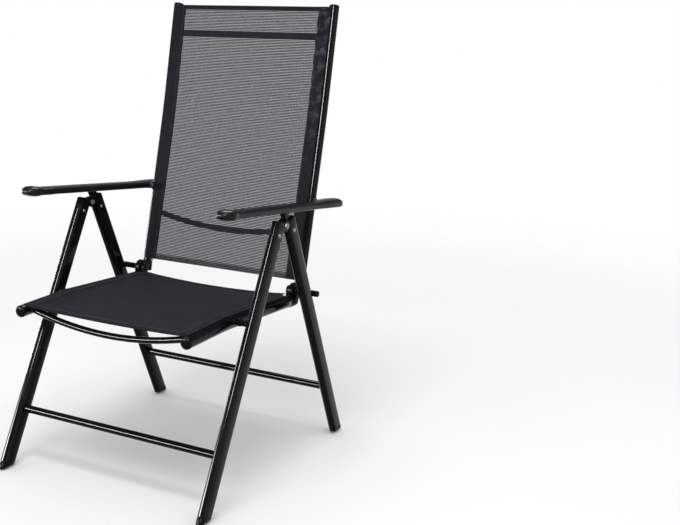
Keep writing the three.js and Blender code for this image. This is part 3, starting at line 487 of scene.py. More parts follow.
# Both pieces of a pair, made for the left side, which is +X. A body that is one of a pair ends in _left
def addPair(name, shape, look, body, node, sharp=32):
    mesh = asMesh(shape)
    other = moved(mesh.copy(), lambda spots: spots * (-1, 1, 1))
    other.flip_normals()
    addPiece(name + "Left", mesh, look, body, [node + "_left"], sharp)
    addPiece(name + "Right", other, look, body.replace("_left", "_right"), [node + "_right"], sharp)


# Legs. rim has the inset, the least rise over the rounding and the drop from the top for a foot's upper rows
legs = {"width": 20, "depth": 40, "wall": 1.5, "sole": 14, "soleRound": 8.5, "soleReach": 1.3, "plugDrop": 16,
        "rim": ((0.0, 0.5, 0.8), (0.6, 1.0, 0.0)), "ear": 13, "earEdge": 1.0, "earInset": 0.5,
        "earSet": 0.15, "roomSet": 0.1}
legInner, legOuter = legX - legs["width"] / 2, legX + legs["width"] / 2


# offset is how far the hinge lies behind the leg's own axis. A leg's frame starts at its sole and leans so
# that the hinge lies there. over is the plug's height above the hinge, root is where its ear starts, and
# shoulder is the side that falls away, 1 for the rear one
def legFrame(leg, sole):
    run, up = legHinge - sole[1:]
    reach = math.hypot(run, up)
    hinge = np.array([leg["offset"], math.sqrt(reach ** 2 - leg["offset"] ** 2)])
    return dict(leg, sole=sole[1:], lean=math.atan2(run, up) - math.asin(leg["offset"] / reach), hinge=hinge,
                top=hinge[1] - legs["plugDrop"])


frontLeg = legFrame({"body": "front_legs", "offset": 20, "rivetDrop": 14, "stretcherUp": 129, "over": 1,
                     "shoulder": -1, "root": 2}, frontSole)
rearLeg = legFrame({"body": "rear_legs", "offset": -25, "rivetDrop": 11, "stretcherUp": 139, "over": 4,
                    "shoulder": 1, "root": -1}, rearSole)


def legTubeMesh(leg):
    path = [(legX, 0, legs["sole"]), (legX, 0, leg["top"])]
    shell = tubeShell(path, legs["width"], legs["depth"], legs["wall"], sideX)
    return settled(shell, leg["sole"], leg["lean"])


# A ring of the leg's oval, drawn in all round, and reach times as far along its depth. rise gives a point's
# height from how far behind the leg's axis it lies
def legRing(inset, rise, reach=1.0):
    oval = ovalProfile(legs["width"] - 2 * inset, legs["depth"] - 2 * reach * inset)
    return joined(legX + oval[:, 0], oval[:, 1], rise(oval[:, 1]))


# Foot: the leg's oval, cut by the floor, with the cut's edge rounded. A row at angle a of the rounding is
# drawn in by r (1 - sin a), further along the depth, and stands r (1 - cos a) above the floor
def footMesh(leg):
    radius, lean = legs["soleRound"], leg["lean"]
    rows = []
    for angle in np.linspace(0, np.pi / 2, 7):
        above = radius * (1 - math.cos(angle)) / math.cos(lean)
        rows.append(legRing(radius * (1 - math.sin(angle)), lambda behind: behind * math.tan(lean) + above,
                            legs["soleReach"]))
    side, high = rows[-1][:, 2], legs["sole"] - gap
    for inset, rise, drop in legs["rim"]:
        rows.append(legRing(inset, lambda behind: np.maximum(side + rise, high - drop)))
    return settled(gridShell(np.array(rows), bothEnds), leg["sole"], lean)


plug = {"edge": 2.2, "corner": 9.0, "start": ((0.6, gap), (0.0, 0.9)),
        "inside": (5.0, 8.0, legs["width"] / 2), "fall": 0.98}


# Plug head: the leg's oval from the tube's end up to a top line, edge rounded, closed down the middle of its
# top. The top line falls as a circle over one shoulder, and fall keeps the circle's end from being upright
def plugHead(leg):
    edge, corner = plug["edge"], plug["corner"]

    def topLine(behind):
        share = np.clip((leg["shoulder"] * behind - (legs["depth"] / 2 - corner)) / corner, 0, 1)
        return leg["hinge"][1] + leg["over"] - corner * (1 - np.sqrt(1 - share ** 2 * plug["fall"]))

    rows = [legRing(inset, lambda behind: leg["top"] + low) for inset, low in plug["start"]]
    for angle in np.linspace(0, np.pi / 2, 5):
        rows.append(legRing(edge * (1 - math.cos(angle)),
                            lambda behind: topLine(behind) - edge * (1 - math.sin(angle))))
    rows += [legRing(inset, topLine) for inset in plug["inside"]]
    return gridShell(np.array(rows), (0,))


# The plug's head loses half its width round the hinge, as room for the other leg's ear, and gains its own ear
def plugMesh(leg, head, room, outline, ear):
    clear = plateShell(discOutline(leg["hinge"], legs["ear"] + gap), *room, cutEdge, 1)
    whole = worked(worked(head, "DIFFERENCE", clear), "UNION", plateShell(outline, *ear, legs["earEdge"]))
    return settled(whole, leg["sole"], leg["lean"])


def frontPlugMesh():
    up, root, radius = frontLeg["hinge"][1], frontLeg["root"], legs["ear"]
    around = discOutline(frontLeg["hinge"], radius, 40, -np.pi / 2, np.pi / 2)
    outline = np.concatenate([around, [[root, up + frontLeg["over"]], [root, up - radius]]])
    return plugMesh(frontLeg, plugHead(frontLeg), (legInner - 1, legX + legs["roomSet"]), outline,
                    (legX + legs["earSet"], legOuter - legs["earInset"]))


# The rear plug also has a horn, whose tip holds the catch pin under the arm
horn = {"rise": 30, "behind": 4, "tip": 6.5, "root": 26, "rootDrop": 5, "inner": 275.0, "outer": 287.0,
        "edge": 1.2, "pin": 6.0, "pinReach": 27}
catchSpot = legHinge + [horn["behind"], horn["rise"]]


def rearPlugMesh():
    behind, up = rearLeg["hinge"]
    root, radius, low = rearLeg["root"], legs["ear"], up - horn["rootDrop"]
    catch = inFrame(catchSpot, rearLeg["sole"], rearLeg["lean"])
    front = catch[0] - horn["tip"]
    tip = discOutline(catch, horn["tip"], 24, 0, np.pi)
    fingerLine = np.concatenate([[[front, low], [front + horn["root"], low]], tip])
    finger = plateShell(fingerLine, horn["inner"], horn["outer"], horn["edge"])
    around = discOutline(rearLeg["hinge"], radius, 40, np.pi / 2, 1.5 * np.pi)
    corners = [[root, up - radius], [root, up + rearLeg["over"]], [behind + radius, up + radius - 1]]
    outline = np.concatenate([around, corners])
    head = worked(plugHead(rearLeg), "UNION", finger)
    return plugMesh(rearLeg, head, (legX - legs["roomSet"], legOuter + 1), outline,
                    (legInner + legs["earInset"], legX - legs["earSet"]))


# A point of a leg's own axis, in the chair's side view
def legSpot(leg, up):
    return placed(np.array([0.0, 0.0, up]), leg["sole"], leg["lean"])[1:]


# Stretchers: round tube from leg to leg
stretcher = {"diameter": 18.5, "wall": 1.2, "weld": 0.4}


def stretcherShell(leg):
    spot = legSpot(leg, leg["stretcherUp"] / math.cos(leg["lean"]))
    end = legInner + stretcher["weld"]
    return roundTube([(-end, *spot), (end, *spot)], stretcher["diameter"], stretcher["wall"])


for name, leg, plugShape in (("front", frontLeg, frontPlugMesh()), ("rear", rearLeg, rearPlugMesh())):
    addPair(name + "LegTube", legTubeMesh(leg), coated, leg["body"], name + "_leg")
    addPair(name + "LegFoot", footMesh(leg), plastic, leg["body"], name + "_foot", 50)
    addPair(name + "LegPlug", plugShape, plastic, leg["body"], name + "_plug")
    rivetAt = legSpot(leg, leg["top"] - leg["rivetDrop"])
    addPair(name + "PlugRivet", rivetShell(legX, legs["width"] / 2, rivetAt), zinc, leg["body"],
            name + "_plug_rivet")
    addPiece(name + "StretcherTube", stretcherShell(leg), coated, leg["body"], [name + "_stretcher"])
addPair("legHingeScrew", boltShell(legInner, legOuter, legHinge, bolt), zinc, "front_legs", "leg_hinge_bolt")
pinStart, pinTip = horn["outer"] - horn["pinReach"], horn["outer"]
pinReach = [pinStart, pinStart, pinStart + 0.6, pinTip - 0.4, pinTip, pinTip]
addPair("catchPinSteel", turnedShell([0, 2.5, 3, 3, 2.6, 0], pinReach, catchSpot, 28), zinc, "rear_legs",
        "catch_pin")
print("leg frames done")

# Seat: tubes with a slight bend at the pivot, bars bowed downwards between them
seat = {"inset": 52, "diameter": 28, "wall": 1.5, "front": 174.6, "bend": 30, "frontFall": 1.6,
        "rearFall": 2.6, "fork": 26.4, "bar": 15, "barWall": 1.2, "frontBar": 150, "frontBow": 28,
        "rearBarSet": 44, "rearBow": 14, "dome": 7, "rivetSet": 13}
seatX = legX - seat["inset"]
seatRadius = seat["diameter"] / 2
seatRear = backHinge[0] - seatPivot[0] - seat["fork"]


# The seat tube's axis at a distance behind the pivot: two straight falls that meet at the bend
def seatAxis(behind):
    behind = np.asarray(behind, float)
    rearFall, frontFall = (math.tan(math.radians(seat[key])) for key in ("rearFall", "frontFall"))
    rise = np.where(behind > -seat["bend"], -behind * rearFall,
                    seat["bend"] * rearFall + (behind + seat["bend"]) * frontFall)
    return joined(seatPivot[0] + behind, seatPivot[1] + rise)


# Straight, a parabola round the bend, and straight again, at even steps. Gives the points and the length
def bentPath(start, bend, end, blend, count):
    before = bend + unit(start - bend) * blend
    after = bend + unit(end - bend) * blend
    t = np.linspace(0, 1, 24)[:, None]
    curve = (1 - t) ** 2 * before + 2 * t * (1 - t) * bend + t ** 2 * after
    rough = np.concatenate([[start], curve, [end]])
    run = np.concatenate([[0], np.cumsum(np.linalg.norm(np.diff(rough, axis=0), axis=1))])
    even = np.linspace(0, run[-1], count)
    return np.stack([np.interp(even, run, rough[:, i]) for i in range(2)], axis=-1), run[-1]


# A side tube, from its axis in the side view
def sideTube(flat, across, sizes):
    return roundTube(joined(across, *flat.T), sizes["diameter"], sizes["wall"], sideX)


# Bar from tube to tube, bowed as a parabola: the bow at x is (1 - (x / half) squared) of the middle's
def bowedBar(half, spot, bow, diameter, wall):
    across = np.linspace(-half, half, 49)
    share = 1 - (across / half) ** 2
    return roundTube(joined(across, spot[0] + bow[0] * share, spot[1] + bow[1] * share), diameter, wall)


def seatBar(behind, bow):
    return bowedBar(seatX - seatRadius + weld, seatAxis(behind), (0, -bow), seat["bar"], seat["barWall"])


# Cap in the end of a round tube: a flange as wide as the tube, then a dome whose radius at angle a is
# r (cos a) to the power 0.6 and whose height is a quarter of the dome plus the rest times sin a
def capShell(diameter, dome, spot, across, direction, sides=48):
    turn = np.linspace(0, np.pi / 2, 12)
    radius = diameter / 2
    bulge = radius * np.maximum(np.cos(turn), 0) ** 0.6
    bulge[-1] = 0
    ring = np.concatenate([[radius - 1.4, radius - 0.4, radius], bulge])[:, None]
    along = np.concatenate([[-6.0, gap, 0.7], dome * (0.25 + 0.75 * np.sin(turn))])[:, None]
    behind, up = unit(np.array(direction))
    one, two = ring * np.cos(turnSteps(sides)), ring * np.sin(turnSteps(sides))
    return gridShell(joined(across + one, spot[0] + along * behind - two * up,
                            spot[1] + along * up + two * behind), (0,))


seatTip, seatBend = seatAxis(-seat["front"]), seatAxis(-seat["bend"])
seatLine = bentPath(seatTip, seatBend, seatAxis(seatRear), seat["bend"], 40)[0]
addPair("seatSideTube", sideTube(seatLine, seatX, seat), coated, "seat", "seat_tube")
addPiece("seatFrontBow", seatBar(-seat["frontBar"], seat["frontBow"]), coated, "seat", ["seat_front_bar"])
addPiece("seatRearBow", seatBar(seatRear - seat["rearBarSet"], seat["rearBow"]), coated, "seat",
         ["seat_rear_bar"])
addPair("seatTubeEnd", capShell(seat["diameter"], seat["dome"], seatTip, seatX, seatTip - seatBend), plastic,
        "seat", "seat_front_cap", 40)

# Spacer, bolt and bracket of the seat
spacer = [(bore, 0), (8.4, 0), (9, 0.6), (9, 5), (7.6, 5.6)]
addPair("seatSpacerBush", bushShell(spacer, seatX + seatRadius + gap, legInner - gap, seatPivot), plastic,
        "seat", "seat_pivot_spacer")
boltIn, boltEnd = seatX - seatRadius - gap, legX - 1.5
boltRadius = [0, 2.4, 2.7, 3.4, 5.4, 6.5, 6.5, 4, 4, 0]
boltReach = [*boltIn - np.array([1.2, 1.2, 3, 3, 2.4, 1.4, 0, 0]), boltEnd, boltEnd]
addPair("seatPivotScrew", turnedShell(boltRadius, boltReach, seatPivot, 36, (1, 2)), zinc, "front_legs",
        "seat_pivot_bolt")

hinge = {"ear": 19, "earThick": 12, "cheek": 11.5, "body": 30, "bodyLength": 24.6, "pin": 15, "pinWall": 2,
         "pinBeyond": 9, "cap": 4, "back": 2, "offset": 24.6, "start": 6, "drop": 8, "tube": 25, "room": 0.6}
backX = seatX + hinge["back"]
earInner, earOuter = backX - hinge["earThick"] / 2, backX + hinge["earThick"] / 2
forkInner, forkOuter = seatX - hinge["body"] / 2, seatX + hinge["body"] / 2


# Forked end of the seat tube: a round body, two cheeks up to the pin, and a slot for the back's ear
def forkMesh():
    start, end = seatAxis(seatRear + gap), seatAxis(seatRear + hinge["bodyLength"])
    length, radius, room = hinge["bodyLength"], hinge["body"] / 2, hinge["room"]
    reach = np.array([0, 0.5, 1.6, 0.93 * length, 0.98 * length, length])
    path = start + (end - start) * reach[:, None] / length
    body = barShell(joined(seatX, *path.T), radius - np.array([1.6, 0.5, 0, 0, 0.6, 2.0]))
    low = end[1] - radius / 2
    tip = discOutline(backHinge, hinge["cheek"], 32, 0, np.pi)
    outline = np.concatenate([[[backHinge[0] - hinge["cheek"], low], [end[0], low]], tip])
    cheeks = plateShell(outline, forkInner, forkOuter, 2.0)
    clear = discOutline(backHinge, hinge["ear"] + room)
    slot = plateShell(clear, earInner - room, earOuter + room, cutEdge, 1)
    return worked(worked(body, "UNION", cheeks), "DIFFERENCE", slot)


addPair("seatForkEnd", forkMesh(), plastic, "seat", "seat_hinge_bracket")
addPair("seatForkRivet", rivetShell(seatX, seatRadius, seatAxis(seatRear - seat["rivetSet"])), zinc, "seat",
        "seat_bracket_rivet")

# Hinge pins between seat and back, which also bear on the rear legs
pinEnd = legOuter + hinge["pinBeyond"] - hinge["cap"] - gap
pinPath = [(forkInner, *backHinge), (pinEnd, *backHinge)]
addPair("hingePinTube", roundTube(pinPath, hinge["pin"], hinge["pinWall"]), coated, "hinge_pins", "hinge_pin")
capReach = pinEnd + np.array([-6, -6, gap, gap, 0.8, 1.6, 2.6, 3.3, 3.8, 4, 4.05])
addPair("hingePinEnd", turnedShell([0, 5.2, 5.2, 7.1, 7.5, 7.4, 6.9, 5.9, 4.2, 2.2, 0], capReach, backHinge),
        plastic, "hinge_pins", "hinge_pin_cap", 40)
print("seat frame done")

# Back: tubes that lean less above a soft bend, a straight head bar and a bowed lumbar bar
back = {"diameter": 25, "wall": 1.5, "lower": 14.4, "upper": 12.0, "height": 1080, "bendDrop": 270,
        "blend": 70, "dome": 7, "headDrop": 79, "headBar": 17.5, "lumbarUp": 140, "lumbarBar": 14, "bow": 25,
        "bowBack": 6, "barWall": 1.2, "rivetUp": 15}
barCoat = dict(coated, finish=rubbedCoat)
lowerLean, upperLean = math.radians(back["lower"]), math.radians(back["upper"])
lowerRun, upperRun = (np.array([math.sin(lean), math.cos(lean)]) for lean in (lowerLean, upperLean))
backRadius = back["diameter"] / 2
bendUp = back["height"] - back["bendDrop"]
backFoot = backHinge + hinge["offset"] * np.array([lowerRun[1], -lowerRun[0]])


# The back tube's axis at a height: the lower lean up to the bend, the upper lean above it
def backAxis(up):
    lower, upper = min(up, bendUp) - backFoot[1], max(up - bendUp, 0)
    return np.array([backFoot[0] + lower * math.tan(lowerLean) + upper * math.tan(upperLean), up])


backStartUp = backFoot[1] + (hinge["start"] + gap) * lowerRun[1]
backTopUp = back["height"] - (back["dome"] + gap) * upperRun[1] - backRadius * 0.5 * upperRun[0]
backStart, backTop = backAxis(backStartUp), backAxis(backTopUp)
backLine, backLength = bentPath(backStart, backAxis(bendUp), backTop, back["blend"], 60)
addPair("backSideTube", sideTube(backLine, backX, back), coated, "back", "back_tube")
addPair("backTubeEnd", capShell(back["diameter"], back["dome"], backTop, backX, upperRun), plastic, "back",
        "back_top_cap", 40)
barHalf = backX - backRadius + weld
headAt, lumbarAt = backAxis(back["height"] - back["headDrop"]), backAxis(backHinge[1] + back["lumbarUp"])
addPiece("backHeadTube", bowedBar(barHalf, headAt, (0, 0), back["headBar"], back["barWall"]), barCoat, "back",
         ["back_head_bar"])
lumbarBow = back["bowBack"] * np.array([lowerRun[1], -lowerRun[0]]) - back["bow"] * lowerRun
addPiece("backLumbarTube", bowedBar(barHalf, lumbarAt, lumbarBow, back["lumbarBar"], back["barWall"]),
         barCoat, "back", ["back_lumbar_bar"])


# Plug at the foot of the back tube: an ear round the hinge pin, a neck, and a round end under the tube
def backPlugMesh():
    drop, offset, start = hinge["drop"], hinge["offset"], hinge["start"]
    ear = plateShell(discOutline((0, 0), hinge["ear"]), earInner, earOuter, 1.2)
    neckLine = [[0, -drop], [offset, -drop], [offset, start], [0, hinge["ear"] - 0.5]]
    neck = plateShell(neckLine, earInner, earOuter, 1.0)
    reach = np.array([-drop, -drop + 0.4, -drop + 1.6, start - 0.6, start])
    foot = barShell(joined(backX, offset, reach), hinge["tube"] / 2 - np.array([1.6, 0.4, 0, 0, 0.6]))
    return settled(worked(ear, "UNION", neck, foot), backHinge, lowerLean)


addPair("backTubeFoot", backPlugMesh(), plastic, "back", "back_hinge_plug")
addPair("backFootRivet", rivetShell(backX, backRadius, backAxis(backStartUp + back["rivetUp"])), zinc, "back",
        "back_plug_rivet")
print("back frame done")

# Slings. Each is a surface of two parameters: share, from -1 to 1 across, and along, from 0 to 1. It lies on
# the tubes at its edges and sags as a parabola between them. proud is a height above it. half is the tubes'
# distance from the middle, and hemReach and seamReach are how far the hems and seams across go out
backSling = {"finish": backCloth, "slot": "back_fabric", "body": "back", "rise": 18, "drop": 10, "sag": 8,
             "gap": 1.4, "sideHem": 34, "sideBulk": 2.4, "topHem": 12, "bottomHem": 15, "half": backX,
             "hemReach": 1 - 1 / backX, "seamEnd": 1.0, "seamIn": 0.003, "end": 0.999,
             "crossBulk": 2.2, "rows": 110, "hemRows": 160}
seatSling = {"finish": seatCloth, "slot": "seat_fabric", "body": "seat", "front": 166, "tail": 16, "sag": 9,
             "gap": 1.1, "curve": 10, "notch": 16, "notchSet": 1, "notchTurn": 6, "sideHem": 30,
             "sideBulk": 2.0, "frontHem": 10, "rearHem": 14, "half": seatX, "hemReach": 0.995,
             "seamReach": 0.86, "seamStop": 12, "seamIn": 0.006, "frontBulk": 7.0, "frontFall": 2.5,
             "rows": 90, "hemRows": 130}
backRise = backTop[1] - backStart[1]
slingStart = (backHinge[1] + backSling["rise"] - backStart[1]) / backRise
slingEnd = min((back["height"] - backSling["drop"] - backStart[1]) / backRise, backSling["end"])
backClothLength = backLength * (slingEnd - slingStart)
seatReach = (-seatSling["front"], seatRear + seatSling["tail"])
seatClothLength = seatReach[1] - seatReach[0]


def backSurface(share, along, proud=0.0):
    count = np.arange(len(backLine))
    place = (slingStart + (slingEnd - slingStart) * along) * count[-1]
    slope = unit(np.gradient(backLine, axis=0))
    behind, up, runBehind, runUp = (np.interp(place, count, one) for one in (*backLine.T, *slope.T))
    sag = backSling["sag"] * (1 - share ** 2) * np.sin(np.pi * np.clip(along, 0, 1))
    ahead = backRadius + backSling["gap"] - sag + proud
    return joined(share * backX, behind - runUp * ahead, up + runBehind * ahead)


# The seat's front edge curves in, and its rear corners are cut away for the hinge
def seatSurface(share, along, proud=0.0):
    hollow = 1 - share ** 2
    behind = seatReach[0] + hollow * seatSling["curve"] * (1 - along) + along * seatClothLength
    spot = seatAxis(behind)
    cut = np.clip((behind - seatRear + seatSling["notchSet"]) / seatSling["notchTurn"] + 1, 0, 1)
    half = seatX - seatSling["notch"] * eased(cut)
    up = spot[..., 1] + seatRadius + seatSling["gap"] - seatSling["sag"] * hollow + proud
    return joined(share * half, spot[..., 0], up)


backSling.update(surface=backSurface, length=backClothLength, seamReach=1 - backSling["sideHem"] / backX)
seamLess = sum(seatSling[key] for key in ("tail", "notchSet", "seamStop"))
seatSling.update(surface=seatSurface, length=seatClothLength, seamEnd=1 - seamLess / seatClothLength)


# A sheet of cloth, or a closed loop of it. across and along are its own coordinates
def addCloth(name, grid, across, along, piece, nodes=(), closed=False):
    mesh = meshOf([gridShell(grid, bothEnds if closed else (), wrapColumns=closed)], tidy=False)
    uv = joined(across, along).reshape(-1, 2)
    corner = np.empty(len(mesh.loops), np.int32)
    mesh.loops.foreach_get("vertex_index", corner)
    layer = mesh.uv_layers.new(name="cloth")
    layer.data.foreach_set("uv", (uv[corner] * mm).astype(np.float32).ravel())
    return addPiece(name, mesh, piece, piece["body"], nodes, 60)


def addSling(name, sling, node):
    along, share = np.meshgrid(np.linspace(0, 1, sling["rows"]), np.linspace(-1, 1, 81), indexing="ij")
    return addCloth(name, sling["surface"](share, along), share * sling["half"], along * sling["length"],
                    sling, [node])


# Hem: cloth folded over on itself. Its section is a flat loop: across the width on the front and back on the
# rear, with a half thickness that falls to nothing at both edges as a blunt ellipse
def hemLoop(width, thick, count=28):
    cosine, sine = np.cos(turnSteps(count)), np.sin(turnSteps(count))
    across = width / 2 * (1 - np.sign(cosine) * np.abs(cosine) ** 0.5)
    return across, thick / 2 * np.sign(sine) * np.abs(sine) ** 0.6


# A side hem follows the cloth's edge; slack puts small puckers into its upper part
pucker = {"waves": 95, "start": 0.55, "grow": 0.2, "left": 1.2, "right": 0.4}


def sideHem(name, sling, cloth, side, slack=0.0):
    width, thick = hemLoop(sling["sideHem"], sling["sideBulk"])
    run = np.linspace(0, 1, sling["hemRows"])[:, None]
    grown = np.clip((run - pucker["start"]) / pucker["grow"], 0, 1)
    lift = slack * np.sin(run * pucker["waves"]) * grown * (width / sling["sideHem"])
    grid = sling["surface"](side * (1 - width / sling["half"]), run, thick + lift)
    return addCloth(name, grid, width + thick, run * sling["length"], dict(sling, finish=cloth), closed=True)


# A hem across the cloth, at its start or end. height and bulk name its height and thickness among the sling's
# measures, and fall sets it lower than the cloth
def crossHem(name, sling, cloth, start, height, bulk, fall=0.0):
    width, thick = hemLoop(sling[height], sling[bulk])
    share = np.linspace(-sling["hemReach"], sling["hemReach"], 90)[:, None]
    along = start + np.sign(0.5 - start) * width / sling["length"]
    return addCloth(name, sling["surface"](share, along, thick - fall), share * sling["half"], width + thick,
                    dict(sling, finish=cloth), closed=True)


# Stitches: short capsules along a seam, five rings of six points each, that bulge out of the cloth
stitch = {"length": 3.6, "pitch": 4.6, "thick": 0.9, "proud": 1.6, "insets": (3.0, 7.0)}


def stitchShell(seamPoint, total):
    count = max(int(total / stitch["pitch"]), 2)
    middle = (np.arange(count) + 0.5) / count
    step = np.array([-0.5, -0.36, 0.0, 0.36, 0.5])
    girth = np.array([0.05, 0.8, 1.0, 0.8, 0.05])
    lift = stitch["proud"] + np.array([-0.5, 0.1, 0.4, 0.1, -0.5]) * stitch["thick"]
    along = middle[:, None] + step * stitch["length"] / total
    centre = seamPoint(along, lift)
    above = seamPoint(along, lift + 1.0) - centre
    across = np.cross(unit(np.gradient(centre, axis=1)), above)
    turn = turnSteps(6)[:, None]
    ring = across[..., None, :] * np.cos(turn) + above[..., None, :] * np.sin(turn)
    grid = centre[..., None, :] + ring * (girth * stitch["thick"] / 2)[None, :, None, None]
    one = gridFaces(len(step), len(turn))
    first = np.arange(count) * len(step) * len(turn)
    return grid.reshape(-1, 3), (one[None] + first[:, None, None]).reshape(-1, 4), []


# Two seams along each side hem, and one across at each of the heights
def addSeams(name, sling, heights):
    surface, end, reach = sling["surface"], sling["seamEnd"], sling["seamReach"]
    shells = []
    for side in (1, -1):
        for inside in stitch["insets"]:
            share = side * (1 - (sling["sideHem"] - inside) / sling["half"])
            shells.append(stitchShell(lambda run, proud: surface(share, run * end, proud),
                                      sling["length"] * end))
    for height in heights:
        shells.append(stitchShell(lambda run, proud: surface(reach * (2 * run - 1), height, proud),
                                  2 * reach * sling["half"]))
    return addPiece(name, meshOf(shells), dict(sling, finish=thread), sling["body"], sharp=60)


# Back cloth, its two side hems, top and bottom hems, and their seams
backSheet = addSling("backSlingCloth", backSling, "back_sling")
topSeam = 1 - backSling["topHem"] / backClothLength + backSling["seamIn"]
bottomSeam = backSling["bottomHem"] / backClothLength - backSling["seamIn"]
# The left side hem carries painted highlight: pale patches where its wrinkles catch light
backExtras = [sideHem("backSideHemLeft", backSling, glintHemCloth, 1, pucker["left"]),
              sideHem("backSideHemRight", backSling, hemCloth, -1, pucker["right"]),
              crossHem("backTopHem", backSling, hemCloth, 1.0, "topHem", "crossBulk"),
              crossHem("backBottomHem", backSling, lowHemCloth, 0.0, "bottomHem", "crossBulk"),
              addSeams("backSeams", backSling, (backSling["seamIn"], bottomSeam, topSeam))]

# Seat cloth, its hems and seams
seatSheet = addSling("seatSlingCloth", seatSling, "seat_sling")
frontSeam = seatSling["frontHem"] / seatClothLength - seatSling["seamIn"]
rearSeam = 1 - seatSling["rearHem"] / seatClothLength + seatSling["seamIn"]
seatExtras = [sideHem("seatSideHemLeft", seatSling, seatCloth, 1),
              sideHem("seatSideHemRight", seatSling, seatCloth, -1),
              crossHem("seatFrontHem", seatSling, seatCloth, 0.0, "frontHem", "frontBulk",
                       seatSling["frontFall"]),
              crossHem("seatRearHem", seatSling, seatCloth, 1.0, "rearHem", "sideBulk"),
              addSeams("seatSeams", seatSling, (frontSeam, rearSeam))]
print("slings done")

# Arms, in a frame whose origin is the arm pivot, sloped down to the rear
arm = {"finish": armPlastic, "slot": "arm_plastic", "slope": 5.4, "front": 445, "rear": 75,
       "nose": (23, 12.5, 11.5), "noseLength": 24, "noseReach": 31, "bar": (20.6, 9.8, 10),
       "paddle": (23.5, 12.5, 10), "paddleLength": 50, "paddleTaper": 90, "tailRound": 30,
       "powers": (0.75, 0.85, 0.6), "hollow": (17.8, 6.0), "hollowFront": 378, "hollowRear": 48, "boss": 9.7,
       "bossEdge": 0.8, "bossInset": 7.5, "lip": 1.0, "lipBand": (0.42, 0.12), "lipFade": (12, 0.5),
       "crowd": 0.12, "mouth": (0.35, 0.84), "deepen": 2.2, "roofTurn": 0.14, "draft": 0.05, "washer": 12,
       "washerRoom": 2}
armTilt = math.radians(arm["slope"])
armFace = backX + backRadius + arm["washerRoom"]
armX = armFace + arm["paddle"][0]
armLength = arm["front"] + arm["rear"]


# Half width, rise and drop at a distance from the front tip. The nose is an ellipsoid about its fullest part.
# The bar comes out of it with a crease, as the larger of the two is taken, and swells into the rear paddle
def armSizes(distance):
    taperStart = armLength - arm["paddleLength"] - arm["paddleTaper"]
    swell = eased(np.clip((distance - taperStart) / arm["paddleTaper"], 0, 1))
    tail = rounded(np.clip((armLength - distance) / arm["tailRound"], 0, 1))
    before = np.clip((arm["noseLength"] - distance) / arm["noseLength"], 0, 1)
    after = np.clip((distance - arm["noseLength"]) / arm["noseReach"], 0, 1)
    dome = np.sqrt(np.clip(1 - before ** 2 - after ** 2, 0, 1))
    started = distance >= arm["noseLength"]
    sizes = []
    for nose, bar, paddle in zip(arm["nose"], arm["bar"], arm["paddle"]):
        plain = (bar + (paddle - bar) * swell) * tail
        sizes.append(np.where(started, np.maximum(nose * dome, plain), nose * dome))
    return sizes


# Skin: each section is a blunt ellipse, x = half (cos a) to a power, height = rise or drop (sin a) to another
# power, with a lip along its lower edge. The underside turns up into the hollow, deeper away from its ends.
# Sections crowd at both tips. mouth is the least share of the hollow's width and the most of the arm's.
# lipBand is where the lip starts and how soon it is full, in shares of the drop. lipFade takes the lip away
# where the arm is narrow
def armShell():
    even = np.linspace(0, 1, 150)
    distance = armLength * (even - np.sin(2 * np.pi * even) * arm["crowd"])
    half, rise, drop = (one[:, None] for one in armSizes(distance))
    sidePower, topPower, underPower = arm["powers"]
    mouthHalf, roofUp = arm["hollow"]
    mouthLeast, mouthMost = arm["mouth"]
    lipStart, lipFull = arm["lipBand"]
    lipHalf, lipLess = arm["lipFade"]
    reach = distance - arm["front"]
    room = np.minimum(reach + arm["hollowFront"], arm["hollowRear"] - reach) / mouthHalf
    room = rounded(np.clip(room, 0, 1))
    mouth = np.minimum(mouthHalf * np.maximum(room, mouthLeast)[:, None], half * mouthMost)
    depth = np.clip(room * arm["deepen"], 0, 1)[:, None]
    edge = np.arccos(np.clip(mouth / np.maximum(half, 1e-6), 0, 0.999) ** (1 / sidePower))
    turn = -edge + (np.pi + 2 * edge) * np.linspace(0, 1, 61)[None, :]
    cosine, sine = np.cos(turn), np.sin(turn)
    x = half * np.sign(cosine) * np.abs(cosine) ** sidePower
    z = np.where(sine > 0, rise * np.abs(sine) ** topPower, -drop * np.abs(sine) ** underPower)
    lip = np.clip((-z / drop.clip(0.1) - lipStart) / lipFull, 0, 1)
    wide = np.clip(half / lipHalf - lipLess, 0, 1) * (np.abs(x) > mouth)
    x = x + np.sign(x) * arm["lip"] * (lip - 0.5) * wide
    across = np.linspace(-1, 1, 25)[None, :]
    floor = z[:, -1:]
    roofShape = np.clip((1 - np.abs(across)) / arm["roofTurn"], 0, 1)
    roof = floor + (roofUp - floor) * depth * np.sqrt(roofShape * (2 - roofShape))
    inX = mouth * (1 - arm["draft"] * depth * roofShape) * across
    skin = np.concatenate([x, inX[:, 1:-1]], axis=1)
    up = np.concatenate([z, roof[:, 1:-1]], axis=1)
    return gridShell(placed(joined(armX + skin, reach[:, None], up), armPivot, armTilt))


bossEnd = armX - arm["bossInset"]
bossRings = [(bore, 0), (arm["boss"] - arm["bossEdge"], 0), (arm["boss"], arm["bossEdge"])]
bossShell = bushShell(bossRings, armFace, bossEnd, armPivot)
addPair("armMoulding", worked(armShell(), "UNION", bossShell), arm, "arm_left", "armrest", 40)

# Rack under the arm's roof: a strip with round notches from the pin's place at rest forwards, and end lugs
rack = {"width": 16, "ahead": 109, "behind": 57, "notches": 7, "pitch": 15.9, "depth": 5, "lug": 8,
        "toothHalf": 2, "play": 0.8, "edge": 0.4}


